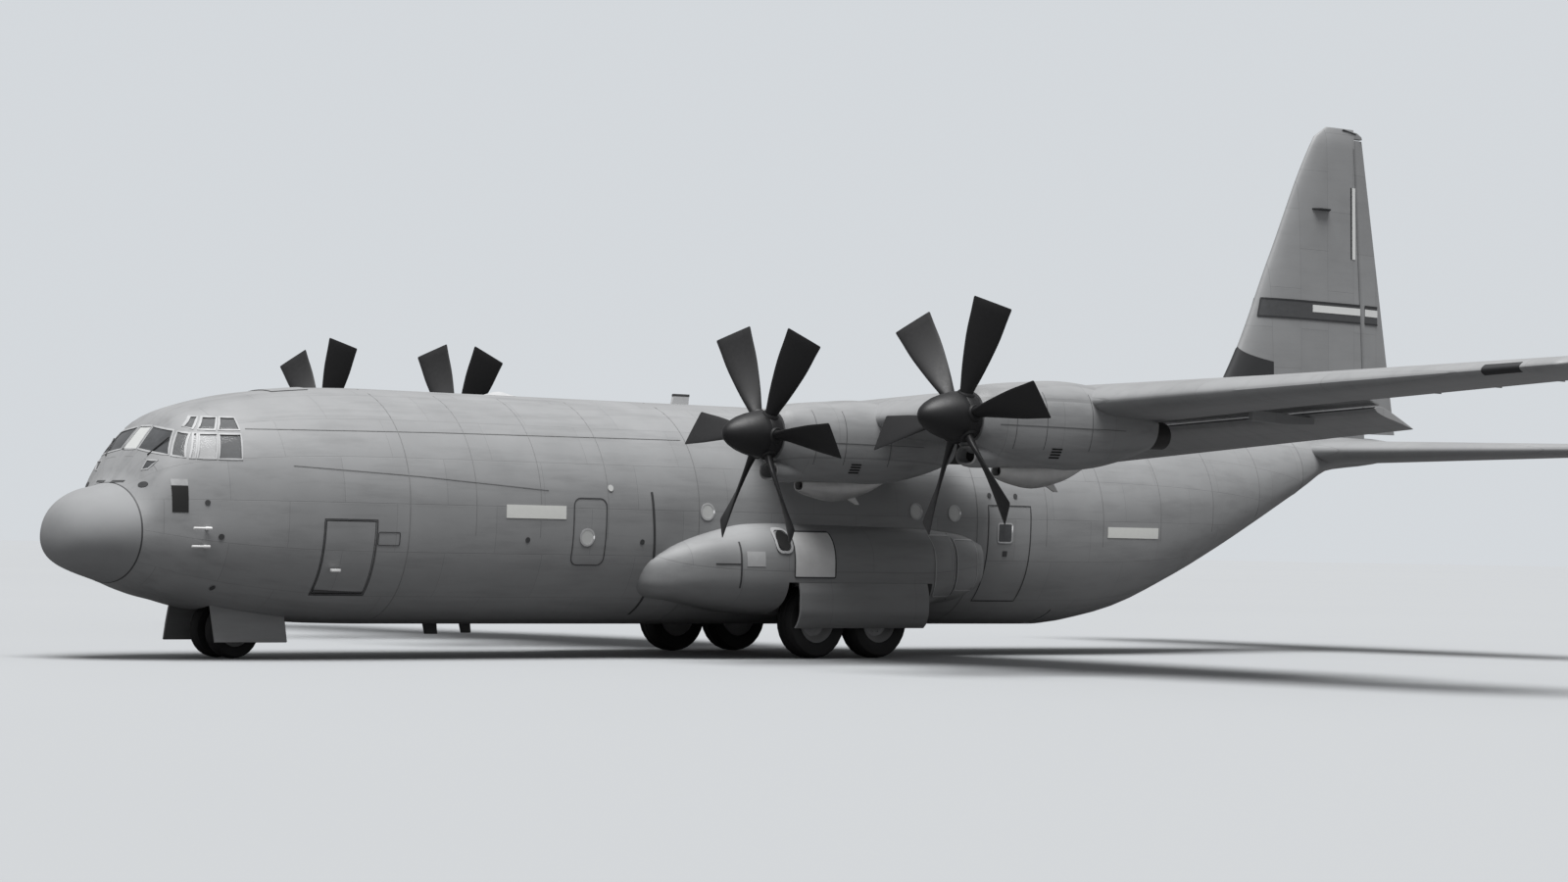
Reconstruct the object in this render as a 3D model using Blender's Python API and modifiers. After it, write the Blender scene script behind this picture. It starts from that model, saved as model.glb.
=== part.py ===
"""Half-scale model of a four-engined military transport plane, standing on its wheels.

The sizes below are the full-size aeroplane's, in metres, and SCALE halves them as the points
are made. X is to port, a station is the distance aft of the nose tip, Z is the height above
the ground. A piece's own frame is the model's: +X to port, -Y to the nose, +Z up.
"""
import math

import bmesh
import bpy
from mathutils import Matrix, Vector

SCALE = 0.5
MID_STATION = 17.18      # half of the full-size length, which lies at Y = 0
FIT = 0.0006             # gap between pieces that touch
RUN = 0.014              # running clearance round a piece that moves

# Fuselage
WALL = 0.12
RING_POINTS = 28
RADOME_END = 1.10
NOSE_END = 5.90
FORWARD_END = 12.30
CENTRE_END = 19.30
AFT_END = 30.00
TAIL_END = 34.36
BREAKS = (RADOME_END, NOSE_END, FORWARD_END, CENTRE_END, AFT_END)
FLOOR_TOP = 1.03
DECK_TOP = 2.36

# Wing
WING_BREAK = 5.60        # where the centre wing ends and the taper starts
WING_TIP = 20.20
WING_LE = 13.72
WING_TE = 18.60
TIP_LE = 14.95
TIP_TE = 17.35
WING_Z = 4.22
DIHEDRAL = 0.0445
WING_CUT = 0.71          # chord fraction where the fixed wing ends ahead of a flap or aileron
FLAP_ROOT = 2.35
FLAP_TIP = 13.75
FLAP_GAP = 0.03          # between the inner and the outer flap, each side of the break
AILERON_ROOT = 13.90
AILERON_TIP = 19.70
AILERON_HINGE = 0.76

# Engines: distance out, hub station, hub height
ENGINES = {"inner": (4.95, 11.49, 4.13), "outer": (10.16, 11.56, 4.36)}
PROP_RADIUS = 2.055
BLADES = 6

# Tail
FIN_HINGE_LOW = (33.08, 4.90)
FIN_HINGE_HIGH = (32.62, 11.60)
FIN_TOP = 11.84
STAB_HALF_SPAN = 8.02
STAB_Z = 4.45
STAB_HINGE = 33.02
ELEVATOR_ROOT = 0.30      # side of the tail cone beside the elevators

# Landing gear
MAIN_X = 2.20
MAIN_STATIONS = {"front": 15.00, "rear": 16.56}
MAIN_RADIUS = 0.71
MAIN_WIDTH = 0.48
NOSE_STATION = 3.47
NOSE_X = 0.27
NOSE_RADIUS = 0.495
NOSE_WIDTH = 0.28
WELL_ROOF = 1.97
WELL_INNER = 1.58
WELL_STATIONS = (14.05, 17.65)
WELL_LIP = 1.45          # height of the sponson's open edge, where the wheel door hangs
NOSE_WELL = (2.74, 4.22, 0.68, 1.90)

# Doors: first and last station, lowest and highest point
CREW_DOOR = (4.22, 5.22, 1.16, 2.44)
JUMP_DOOR = (19.60, 20.75, 1.10, 3.02)
RAMP = (22.03, 25.20)
CARGO_DOOR = (25.24, 29.20)
RAMP_HALF_WIDTH = 1.42
CARGO_TAIL_HALF_WIDTH = 0.72
RAMP_HINGE = (22.09, 0.67)
RAMP_LUG = (0.58, 0.64)   # inner and outer face of a ramp hinge lug
CARGO_HINGE = (29.16, 3.08)
PIN = 0.028              # radius of a door's or surface's hinge pin
CREW_DOOR_RUN = 0.022    # gap at the crew door's ends, whose hinge line is a little out of square

# Fuselage sections: station, top, bottom, half width, widest height, upper power, lower power
HULL = (
    (0.02, 2.20, 1.92, 0.16, 2.06, 2.0, 2.0),
    (0.12, 2.50, 1.72, 0.50, 2.08, 2.0, 2.0),
    (0.32, 2.73, 1.57, 0.80, 2.10, 2.0, 2.0),
    (0.64, 2.90, 1.44, 1.05, 2.13, 2.0, 2.0),
    (1.10, 3.02, 1.30, 1.29, 2.17, 2.1, 2.1),
    (1.50, 3.58, 1.15, 1.47, 2.22, 3.2, 2.1),
    (1.86, 4.03, 1.05, 1.63, 2.28, 3.0, 2.2),
    (2.10, 4.26, 1.00, 1.72, 2.33, 2.7, 2.2),
    (2.60, 4.45, 0.88, 1.87, 2.43, 2.4, 2.3),
    (3.30, 4.62, 0.77, 2.00, 2.54, 2.2, 2.4),
    (4.20, 4.74, 0.66, 2.10, 2.64, 2.1, 2.5),
    (5.20, 4.82, 0.61, 2.15, 2.71, 2.0, 2.6),
    (6.20, 4.84, 0.60, 2.16, 2.72, 2.0, 2.6),
    (22.40, 4.84, 0.60, 2.15, 2.72, 2.0, 2.6),
    (23.30, 4.84, 0.72, 2.11, 2.78, 2.0, 2.7),
    (24.20, 4.84, 0.92, 2.04, 2.84, 2.0, 2.8),
    (25.70, 4.84, 1.48, 1.87, 3.00, 2.0, 2.8),
    (27.10, 4.84, 2.06, 1.62, 3.22, 2.0, 2.7),
    (28.60, 4.84, 2.72, 1.30, 3.52, 2.0, 2.5),
    (30.10, 4.84, 3.40, 0.97, 3.88, 2.0, 2.2),
    (31.56, 4.84, 4.03, 0.62, 4.34, 2.0, 2.0),
    (33.20, 4.82, 4.22, 0.34, 4.50, 2.0, 2.0),
    (34.34, 4.74, 4.42, 0.14, 4.58, 2.0, 2.0),
)

# Wing section: chord fraction and thickness share, upper side from the cut forward
AIRFOIL = ((0.58, 0.84), (0.36, 1.00), (0.18, 0.90), (0.06, 0.60), (0.015, 0.31))

parts = bpy.data.collections.new("transport_plane")
cutters = bpy.data.collections.new("cutters")


def at(x, station, z):
    """A point of the full-size plane in the model's frame."""
    return Vector((x, station - MID_STATION, z)) * SCALE


def paint(name, colour, roughness, metallic=0.0):
    """One plain paint or bare metal."""
    material = bpy.data.materials.new(name)
    material.use_nodes = True
    shader = material.node_tree.nodes["Principled BSDF"]
    shader.inputs["Base Color"].default_value = (*colour, 1.0)
    shader.inputs["Roughness"].default_value = roughness
    shader.inputs["Metallic"].default_value = metallic
    return material


def add(name, mesh, collection=None):
    """Make an object of a bmesh, in the parts unless another collection is named."""
    data = bpy.data.meshes.new(name)
    mesh.to_mesh(data)
    mesh.free()
    piece = bpy.data.objects.new(name, data)
    (collection or parts).objects.link(piece)
    if collection is cutters:
        piece.hide_render = True
        piece.display_type = "WIRE"
    return piece


def skin(mesh, first, second):
    """Triangles between two rows of points, always cut the same way."""
    for i in range(len(first)):
        j = (i + 1) % len(first)
        mesh.faces.new((first[i], first[j], second[j]))
        mesh.faces.new((first[i], second[j], second[i]))


def loft(name, rings, lining=None, collection=None):
    """Skin rings of (x, station, z) points; a lining makes the loft an open tube.

    The skin is cut into triangles one way throughout, so that a piece and the seat cut for it
    in its neighbour have the same facets.
    """
    mesh = bmesh.new()
    rows = [[mesh.verts.new(at(*point)) for point in ring] for ring in rings]
    for first, second in zip(rows, rows[1:]):
        skin(mesh, first, second)
    if lining:
        inside = [[mesh.verts.new(at(*point)) for point in ring] for ring in lining]
        for first, second in zip(inside, inside[1:]):
            skin(mesh, first, second)
        skin(mesh, rows[0], inside[0])
        skin(mesh, rows[-1], inside[-1])
    else:
        mesh.faces.new(rows[0])
        mesh.faces.new(rows[-1])
    bmesh.ops.remove_doubles(mesh, verts=mesh.verts, dist=0.00001)
    bmesh.ops.recalc_face_normals(mesh, faces=mesh.faces)
    return add(name, mesh, collection)


def box(name, low, high, collection=None):
    """A box between two corners, each (x, station, z)."""
    first, last = at(*low), at(*high)
    size = Matrix.Diagonal((*(abs(b - a) for a, b in zip(first, last)), 1.0))
    mesh = bmesh.new()
    bmesh.ops.create_cube(mesh, size=1.0, matrix=Matrix.Translation((first + last) / 2) @ size)
    return add(name, mesh, collection)


def rod(name, start, end, radius, sides=16, collection=None):
    """A round bar between two points."""
    first, last = at(*start), at(*end)
    along = last - first
    turn = along.to_track_quat("Z", "Y").to_matrix().to_4x4()
    mesh = bmesh.new()
    bmesh.ops.create_cone(mesh, cap_ends=True, segments=sides, radius1=radius * SCALE,
                          radius2=radius * SCALE, depth=along.length,
                          matrix=Matrix.Translation((first + last) / 2) @ turn)
    return add(name, mesh, collection)


def prism(name, outline, low, high, place, collection=None):
    """An outline of (a, b) pairs carried from low to high; place gives (x, station, z)."""
    rings = [[place(a, b, level) for a, b in outline] for level in (low, high)]
    return loft(name, rings, collection=collection)


def side_view(station, z, x):
    """Place an outline drawn from the side."""
    return x, station, z


def front_view(x, z, station):
    """Place an outline drawn from the front."""
    return x, station, z


def plan_view(x, station, z):
    """Place an outline drawn from above."""
    return x, station, z


def turned(name, profile, centre, direction, steps):
    """A profile of (radius, height) pairs, turned about a line through centre."""
    mesh = bmesh.new()
    points = [mesh.verts.new((r * SCALE, 0.0, h * SCALE)) for r, h in profile]
    for first, second in zip(points, points[1:]):
        mesh.edges.new((first, second))
    piece = add(name, mesh)
    piece.location = at(*centre)
    piece.rotation_euler = Vector(direction).to_track_quat("Z", "Y").to_euler()
    screw = piece.modifiers.new("turn", "SCREW")
    screw.steps = steps
    screw.render_steps = steps
    screw.use_merge_vertices = True
    screw.merge_threshold = 0.0001
    return piece


def combine(piece, tool, operation):
    """Cut, join or intersect a piece with another, which becomes a cutter."""
    modifier = piece.modifiers.new(operation.lower(), "BOOLEAN")
    modifier.operation = operation
    modifier.solver = "EXACT"
    modifier.object = tool
    if tool.name in parts.objects:
        parts.objects.unlink(tool)
        cutters.objects.link(tool)
    tool.hide_render = True
    tool.display_type = "WIRE"
    return piece


def cut(piece, *tools):
    """Take the tools away from a piece."""
    for tool in tools:
        combine(piece, tool, "DIFFERENCE")
    return piece


def join(piece, *tools):
    """Weld the tools to a piece."""
    for tool in tools:
        combine(piece, tool, "UNION")
    return piece


def keep(piece, tool):
    """Keep only what lies inside the tool."""
    return combine(piece, tool, "INTERSECT")


def section_ring(row, inset):
    """Points round one row of the fuselage table, as (x, z) pairs."""
    _, top, bottom, half, middle, upper, lower = row
    points = []
    for i in range(RING_POINTS):
        angle = math.tau * i / RING_POINTS
        power, reach = (upper, top - middle) if math.sin(angle) >= 0 else (lower, middle - bottom)
        x = math.copysign(abs(math.cos(angle)) ** (2 / power), math.cos(angle))
        z = math.copysign(abs(math.sin(angle)) ** (2 / power), math.sin(angle))
        points.append((x * (half - inset), middle + z * (reach - inset)))
    return points


def hull_rows(station):
    """The table rows on both sides of a station, and how far it lies between them."""
    for first, second in zip(HULL, HULL[1:]):
        if station <= second[0]:
            return first, second, (station - first[0]) / (second[0] - first[0])
    return HULL[-2], HULL[-1], 1.0


def hull_ring(station, inset=0.0):
    """Points round the fuselage at a station, inset from its skin."""
    first, second, share = hull_rows(station)
    return [(a[0] + (b[0] - a[0]) * share, station, a[1] + (b[1] - a[1]) * share)
            for a, b in zip(section_ring(first, inset), section_ring(second, inset))]


def hull_stations(first, last):
    """The end stations, and every table row and panel break between them."""
    inside = [row[0] for row in HULL] + list(BREAKS)
    return [first] + sorted({s for s in inside if first < s < last}) + [last]


def hull_solid(name, first, last, inset=0.0, collection=None):
    """A closed length of the fuselage."""
    rings = [hull_ring(station, inset) for station in hull_stations(first, last)]
    return loft(name, rings, collection=collection)


def hull_shell(name, first, last, outer=0.0, inner=WALL, collection=None):
    """A hollow length of the fuselage, open at both ends."""
    stations = hull_stations(first + FIT / 2, last - FIT / 2)
    rings = [hull_ring(station, outer) for station in stations]
    lining = [hull_ring(station, inner) for station in stations]
    return loft(name, rings, lining, collection)


def hull_half_width(station, z):
    """How far out the skin is at a height."""
    rows = hull_rows(station)
    _, top, bottom, half, middle, upper, lower = (a + (b - a) * rows[2] for a, b in zip(*rows[:2]))
    power, reach = (upper, top - middle) if z >= middle else (lower, middle - bottom)
    share = min(abs(z - middle) / reach, 1.0)
    return half * (1 - share ** power) ** (1 / power)


def chord_line(x):
    """Leading edge, trailing edge, reference height and half thickness of the wing."""
    share = max(0.0, abs(x) - WING_BREAK) / (WING_TIP - WING_BREAK)
    leading = WING_LE + (TIP_LE - WING_LE) * share
    trailing = WING_TE + (TIP_TE - WING_TE) * share
    thickness = 0.184 + (0.120 - 0.184) * share
    return leading, trailing, WING_Z + DIHEDRAL * abs(x), thickness * (trailing - leading) / 2


def wing_ring(x, cut_share, full, grow=0.0):
    """The wing's section: cut_share is where the fixed wing ends unless the section is full."""
    leading, trailing, middle, half = chord_line(x)
    chord = trailing - leading
    camber = 0.12 * 2 * half

    def point(share, thick, side):
        lift = camber * (1 - (2 * share - 1) ** 2)
        back = grow if share == cut_share else 0.0
        return x, leading + share * chord + back, middle + lift + side * (thick * half + grow)

    tail = 2.15 * (1 - cut_share)
    top = [point(cut_share, tail, 1)]
    top += [point(share, thick, 1) for share, thick in AIRFOIL]
    nose = [(x, leading - grow, middle)]
    under = [point(share, thick, -1) for share, thick in reversed(AIRFOIL)]
    under += [point(cut_share, tail, -1)]
    if full:
        end = [point(1.0, 0.035, -1), point(1.0, 0.035, 1)]
    else:
        end = [under[-1], top[0]]
    return top + nose + under + end


def wing_centre_solid(name, grow=0.0, collection=None):
    """The wing from one break to the other."""
    rings = [wing_ring(x, WING_CUT, False, grow) for x in (-WING_BREAK, 0.0, WING_BREAK)]
    return loft(name, rings, collection=collection)


def outer_wing_solid(name, side, grow=0.0, collection=None):
    """The wing from the break to the tip, stepped in ahead of the flap and the aileron."""
    start = WING_BREAK + (FIT if grow == 0.0 else 0.0)
    spans = (
        (start, WING_CUT, False),
        (FLAP_TIP + RUN, WING_CUT, False),
        (FLAP_TIP + RUN, WING_CUT, True),
        (AILERON_ROOT - RUN, WING_CUT, True),
        (AILERON_ROOT - RUN, WING_CUT, False),
        (AILERON_TIP + RUN, WING_CUT, False),
        (AILERON_TIP + RUN, WING_CUT, True),
        (WING_TIP - 0.16, WING_CUT, True),
    )
    rings = [wing_ring(side * x, share, full, grow) for x, share, full in spans]
    last = wing_ring(side * (WING_TIP - 0.16), WING_CUT, True)
    tip = [(side * WING_TIP, s, z) for _, s, z in last]
    leading, trailing, middle, _ = chord_line(WING_TIP)
    rings.append([(x, leading + 0.25 + (s - leading) * 0.82, middle + (z - middle) * 0.35)
                  for x, s, z in tip])
    return loft(name, rings, collection=collection)


def vane(name, ends, collection=None):
    """A control surface with a round nose about its hinge line.

    Each end is (x, hinge station, hinge height, nose radius, trailing station, trailing height).
    """
    rings = []
    for x, station, z, radius, trail_s, trail_z in ends:
        nose = []
        for i in range(7):
            angle = math.pi / 2 + math.pi * i / 6
            nose.append((x, station + radius * math.cos(angle), z + radius * math.sin(angle)))
        tail = [(x, trail_s, trail_z - 0.012), (x, trail_s, trail_z + 0.012)]
        rings.append(nose + tail)
    return loft(name, rings, collection=collection)


def flap_ring(x, side):
    """The flap's section, run back and down from the wing as in the photograph."""
    leading, trailing, middle, _ = chord_line(x)
    chord = 0.30 * (trailing - leading)
    turn = math.radians(18)
    nose_s = trailing + 1.05 - chord * math.cos(turn)
    nose_z = middle - 0.16
    shape = ((0.0, 0.0), (0.06, 0.055), (0.25, 0.085), (0.60, 0.055), (1.0, 0.006),
             (1.0, -0.006), (0.60, -0.025), (0.25, -0.05), (0.06, -0.04))
    points = []
    for along, up in shape:
        back = along * chord
        lift = up * chord
        points.append((side * x, nose_s + back * math.cos(turn) + lift * math.sin(turn),
                       nose_z - back * math.sin(turn) + lift * math.cos(turn)))
    return points


def oval(x, station, z, half, up, down, power=2.2, count=16):
    """An upright oval ring about (x, z)."""
    points = []
    for i in range(count):
        angle = 2 * math.pi * i / count
        across = math.copysign(abs(math.cos(angle)) ** (2 / power), math.cos(angle))
        rise = math.copysign(abs(math.sin(angle)) ** (2 / power), math.sin(angle))
        points.append((x + across * half, station, z + rise * (up if rise > 0 else down)))
    return points


def set_pivot(piece, point):
    """Move a piece's origin to a point of its joint's axis."""
    pivot = at(*point)
    piece.data.transform(Matrix.Translation(-pivot))
    piece.location = pivot
    return piece


def finish(piece, material, smooth=True):
    """Give a piece its material and its shading."""
    piece.data.materials.append(material)
    if smooth:
        piece.data.shade_smooth()
        piece.data.set_sharp_from_angle(angle=math.radians(35))
    return piece


def window_outlines():
    """Cockpit windows: name, how the outline is seen, outline, depth from and to."""
    panes = [("centre", front_view, ((-0.36, 3.64), (0.36, 3.64), (0.36, 3.97), (-0.36, 3.97)),
              1.0, 2.4)]
    for side in (1, -1):
        panes.append(("front", front_view,
                      ((side * 0.44, 3.63), (side * 1.08, 3.56), (side * 1.02, 3.92),
                       (side * 0.44, 3.97)), 1.0, 2.5))
        for first, last in ((1.86, 2.26), (2.33, 2.78)):
            panes.append(("side", side_view,
                          ((first, 3.45), (last, 3.45), (last, 3.86), (first + 0.05, 3.86)),
                          side * 0.9, side * 2.4))
        for first, last in ((1.98, 2.20), (2.26, 2.50), (2.56, 2.80)):
            panes.append(("brow", side_view,
                          ((first, 3.97), (last, 3.97), (last, 4.14), (first, 4.14)),
                          side * 0.7, side * 2.2))
    return panes


def build_nose(grey):
    """Radome and flight deck, with the windows, the crew door's opening and the nose well."""
    radome = hull_solid("radome", HULL[0][0], RADOME_END - FIT / 2)
    finish(radome, grey)

    nose = hull_shell("nose_section", RADOME_END, NOSE_END)
    first, last, half, roof = NOSE_WELL
    liner = box("nose_well_liner", (-half - 0.06, first - 0.06, 0.5),
                (half + 0.06, last + 0.06, roof + 0.06), cutters)
    keep(liner, hull_solid("nose_well_limit", RADOME_END + 0.1, NOSE_END - 0.1, 0.001, cutters))
    join(nose, liner)
    cut(nose, box("nose_well_space", (-half, first, 0.2), (half, last, roof), cutters))
    for count, (kind, place, outline, low, high) in enumerate(window_outlines()):
        cut(nose, prism(f"window_{kind}_{count}", outline, low, high, place, cutters))
    s0, s1, z0, z1 = CREW_DOOR
    cut(nose, box("crew_doorway", (0.9, s0, z0), (2.6, s1, z1), cutters))
    finish(nose, grey)


def build_glazing(glass):
    """One clear liner behind the cockpit's window openings."""
    liner = hull_shell("cockpit_glazing", RADOME_END, NOSE_END, WALL + FIT, WALL + 0.035)
    band = box("glazing_band", (-2.2, 1.4, 3.38), (2.2, 2.92, 4.22), cutters)
    keep(liner, band)
    finish(liner, glass)


def build_barrels(grey):
    """Forward, centre and aft fuselage and the tail cone."""
    forward = hull_shell("forward_fuselage", NOSE_END, FORWARD_END)
    join(forward, blade_antenna("belly_antenna_front", 7.60, 0.30, 0.65, 0.38),
         blade_antenna("belly_antenna_rear", 8.40, 0.24, 0.65, 0.40))
    finish(forward, grey)

    centre = hull_shell("centre_fuselage", FORWARD_END, CENTRE_END)
    for side, label in ((1, "port"), (-1, "starboard")):
        outline = [(side * x, z) for x, z in
                   ((WELL_INNER - 0.07, 0.55), (2.4, 0.55), (2.4, WELL_ROOF + 0.08),
                    (WELL_INNER - 0.07, WELL_ROOF + 0.08))]
        liner = prism(f"{label}_well_liner", outline, WELL_STATIONS[0] - 0.08,
                      WELL_STATIONS[1] + 0.08, front_view, cutters)
        keep(liner, hull_solid(f"{label}_well_limit", FORWARD_END + 0.1, CENTRE_END - 0.1, 0.001,
                               cutters))
        join(centre, liner)
        cut(centre, wheel_well(f"{label}_hull_well", side))
    join(centre, blade_antenna("crown_antenna", 13.20, 0.42, 4.78, 5.04))
    cut(centre, wing_centre_solid("wing_seat", FIT, cutters))
    finish(centre, grey)

    aft = hull_shell("aft_fuselage", CENTRE_END, AFT_END)
    s0, s1, z0, z1 = JUMP_DOOR
    for side, label in ((1, "port"), (-1, "starboard")):
        cut(aft, box(f"{label}_jump_doorway", (side * 1.0, s0, z0), (side * 2.7, s1, z1), cutters))
    cut(aft, ramp_prism("ramp_opening", RUN, cutters))
    cut(aft, cargo_door_prism("cargo_opening", RUN, cutters))
    hinge_s, hinge_z = RAMP_HINGE
    for side, label in ((1, "port"), (-1, "starboard")):
        join(aft, box(f"{label}_ramp_lug", (side * RAMP_LUG[0], RAMP[0] - 0.10, hinge_z - 0.045),
                      (side * RAMP_LUG[1], hinge_s + 0.055, hinge_z + 0.045), cutters))
    finish(aft, grey)

    tail = hull_solid("tail_cone", AFT_END + FIT / 2, TAIL_END - 0.02)
    cut(tail, stab_solid("stab_seat", FIT, cutters))
    for side, label in ((1, "port"), (-1, "starboard")):
        cut(tail, box(f"{label}_elevator_room", (side * ELEVATOR_ROOT, STAB_HINGE - 0.22, 3.9),
                      (side * 1.0, 34.6, 4.9), cutters))
    finish(tail, grey)


def wheel_well(name, side):
    """The space round one side's main wheels, open below and above the wheel door's hinge."""
    outline = [(side * x, z) for x, z in
               ((WELL_INNER, 0.1), (3.3, 0.1), (3.3, WELL_LIP), (2.60, WELL_LIP),
                (2.60, WELL_ROOF), (WELL_INNER, WELL_ROOF))]
    return prism(name, outline, WELL_STATIONS[0], WELL_STATIONS[1], front_view, cutters)


def ramp_prism(name, grow, collection):
    """The ramp's side view, carried across its width."""
    first, last = RAMP
    front = first - 3 * grow
    outline = ((front, 0.2), (last + 0.02, 0.2), (last + 0.02, 1.20),
               (last - 0.25 + grow, 1.66 + grow), (front, FLOOR_TOP + grow))
    half = RAMP_HALF_WIDTH + grow
    return prism(name, outline, -half, half, side_view, collection)


def cargo_half_width(station, grow):
    """Half the aft door's width at a station."""
    first, last = CARGO_DOOR
    share = (last + grow - station) / (last - first + 2 * grow)
    return CARGO_TAIL_HALF_WIDTH + grow + share * (RAMP_HALF_WIDTH - CARGO_TAIL_HALF_WIDTH)


def cargo_door_prism(name, grow, collection):
    """The aft door's plan, carried through the fuselage's underside."""
    outline = []
    for station, side in ((CARGO_DOOR[0] - grow, -1), (CARGO_DOOR[0] - grow, 1),
                          (CARGO_DOOR[1] + grow, 1), (CARGO_DOOR[1] + grow, -1)):
        outline.append((side * cargo_half_width(station, grow), station))
    return prism(name, outline, 0.8, 3.62, plan_view, collection)


def build_doors(grey):
    """Crew door, jump doors, ramp and aft cargo door."""
    s0, s1, z0, z1 = CREW_DOOR
    door = hull_shell("crew_door", s0 - 0.3, s1 + 0.3)
    keep(door, box("crew_door_limit", (0.9, s0 + CREW_DOOR_RUN, z0 + RUN),
                   (2.6, s1 - CREW_DOOR_RUN, z1 - RUN), cutters))
    # The hinge pin lies on the outer skin, so that the open door folds clear of the sill, and
    # follows half of the taper
    level = z0 + RUN + PIN
    front, rear = hull_half_width(s0, level), hull_half_width(s1, level)
    taper = (rear - front) / 4
    ends = ((front + taper, s0 + 3 * FIT, level), (rear - taper, s1 - 3 * FIT, level))
    join(door, rod("crew_door_pin", *ends, PIN, 12, cutters))
    set_pivot(door, ends[0])
    finish(door, grey)

    s0, s1, z0, z1 = JUMP_DOOR
    for side, label in ((1, "port"), (-1, "starboard")):
        door = hull_shell(f"jump_door_{label}", s0 - 0.2, s1 + 0.2)
        keep(door, box(f"{label}_jump_door_limit", (side * 1.0, s0 + FIT, z0 + FIT),
                       (side * 2.7, s1 - FIT, z1 - FIT), cutters))
        finish(door, grey)

    ramp = ramp_prism("ramp", 0.0, parts)
    keep(ramp, hull_solid("ramp_limit", CENTRE_END, AFT_END, 0.0, cutters))
    inner, outer = RAMP_LUG
    for side in (1, -1):
        cut(ramp, rod(f"ramp_notch_{side}", (side * (inner - RUN), *RAMP_HINGE),
                      (side * (outer + RUN), *RAMP_HINGE), 0.10, 16, cutters))
        join(ramp, rod(f"ramp_pin_{side}", (side * (inner - 0.1), *RAMP_HINGE),
                       (side * (inner - FIT), *RAMP_HINGE), PIN, 12, cutters))
    set_pivot(ramp, (0.0, *RAMP_HINGE))
    finish(ramp, grey)

    door = hull_shell("cargo_door", CENTRE_END, AFT_END)
    keep(door, cargo_door_prism("cargo_door_limit", 0.0, cutters))
    # The leaf's upper edges are trimmed, so that it swings up clear of the walls and the sill
    back, level = CARGO_HINGE[0] - 0.05, CARGO_HINGE[1]
    above = ((CARGO_DOOR[0] - 0.2, 1.65), (back, level), (back + 0.3, level), (back + 0.3, 4.2),
             (CARGO_DOOR[0] - 0.2, 4.2))
    cut(door, prism("cargo_door_headroom", above, -1.6, 1.6, side_view, cutters))
    wall = cargo_half_width(CARGO_HINGE[0] + PIN, RUN)
    for side in (1, -1):
        join(door, rod(f"cargo_door_pin_{side}", (side * (wall - 0.12), *CARGO_HINGE),
                       (side * (wall - FIT), *CARGO_HINGE), PIN, 12, cutters))
    set_pivot(door, (0.0, *CARGO_HINGE))
    finish(door, grey)


def build_interior(metal, dark, cloth):
    """Cargo floor, flight deck floor and bulkhead, instrument panel and seats."""
    inner = WALL + FIT
    floor = box("cargo_floor", (-1.6, NOSE_WELL[1] + 0.10, FLOOR_TOP - 0.10),
                (1.6, RAMP[0] - 0.03, FLOOR_TOP))
    keep(floor, hull_solid("cargo_floor_limit", RADOME_END, AFT_END, inner, cutters))
    finish(floor, metal)

    deck = box("flight_deck_floor", (-2.2, 1.75, DECK_TOP - 0.07), (2.2, NOSE_END - 0.1, DECK_TOP))
    keep(deck, hull_solid("deck_limit", RADOME_END, NOSE_END, inner, cutters))
    cut(deck, box("crew_stairwell", (0.95, CREW_DOOR[0] - 0.1, 2.0),
                  (2.4, CREW_DOOR[1] + 0.1, 2.6), cutters))
    finish(deck, metal)

    wall = box("flight_deck_bulkhead", (-2.2, NOSE_END - 0.16, DECK_TOP + FIT),
               (2.2, NOSE_END - 0.10, 5.0))
    keep(wall, hull_solid("bulkhead_limit", RADOME_END, NOSE_END, inner, cutters))
    cut(wall, box("bulkhead_door", (-0.4, 5.0, 2.0), (0.4, 6.5, 4.25), cutters))
    finish(wall, metal)

    panel = prism("instrument_panel",
                  ((1.92, DECK_TOP + FIT), (2.10, DECK_TOP + FIT), (2.12, 3.26), (1.98, 3.36),
                   (1.86, 3.36)),
                  -1.40, 1.40, side_view)
    keep(panel, hull_solid("panel_limit", RADOME_END, NOSE_END, inner, cutters))
    finish(panel, dark)
    for side, label in ((1, "port"), (-1, "starboard")):
        x = side * 0.80
        seat = box(f"pilot_seat_{label}", (x - 0.26, 2.72, 2.72), (x + 0.26, 3.26, 2.86))
        back = prism(f"{label}_seat_back", ((3.14, 2.80), (3.26, 2.80), (3.38, 3.62), (3.26, 3.62)),
                     x - 0.25, x + 0.25, side_view, cutters)
        stand = box(f"{label}_seat_stand", (x - 0.14, 2.85, DECK_TOP + FIT), (x + 0.14, 3.15, 2.74),
                    cutters)
        join(seat, back, stand)
        finish(seat, cloth, False)


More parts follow.
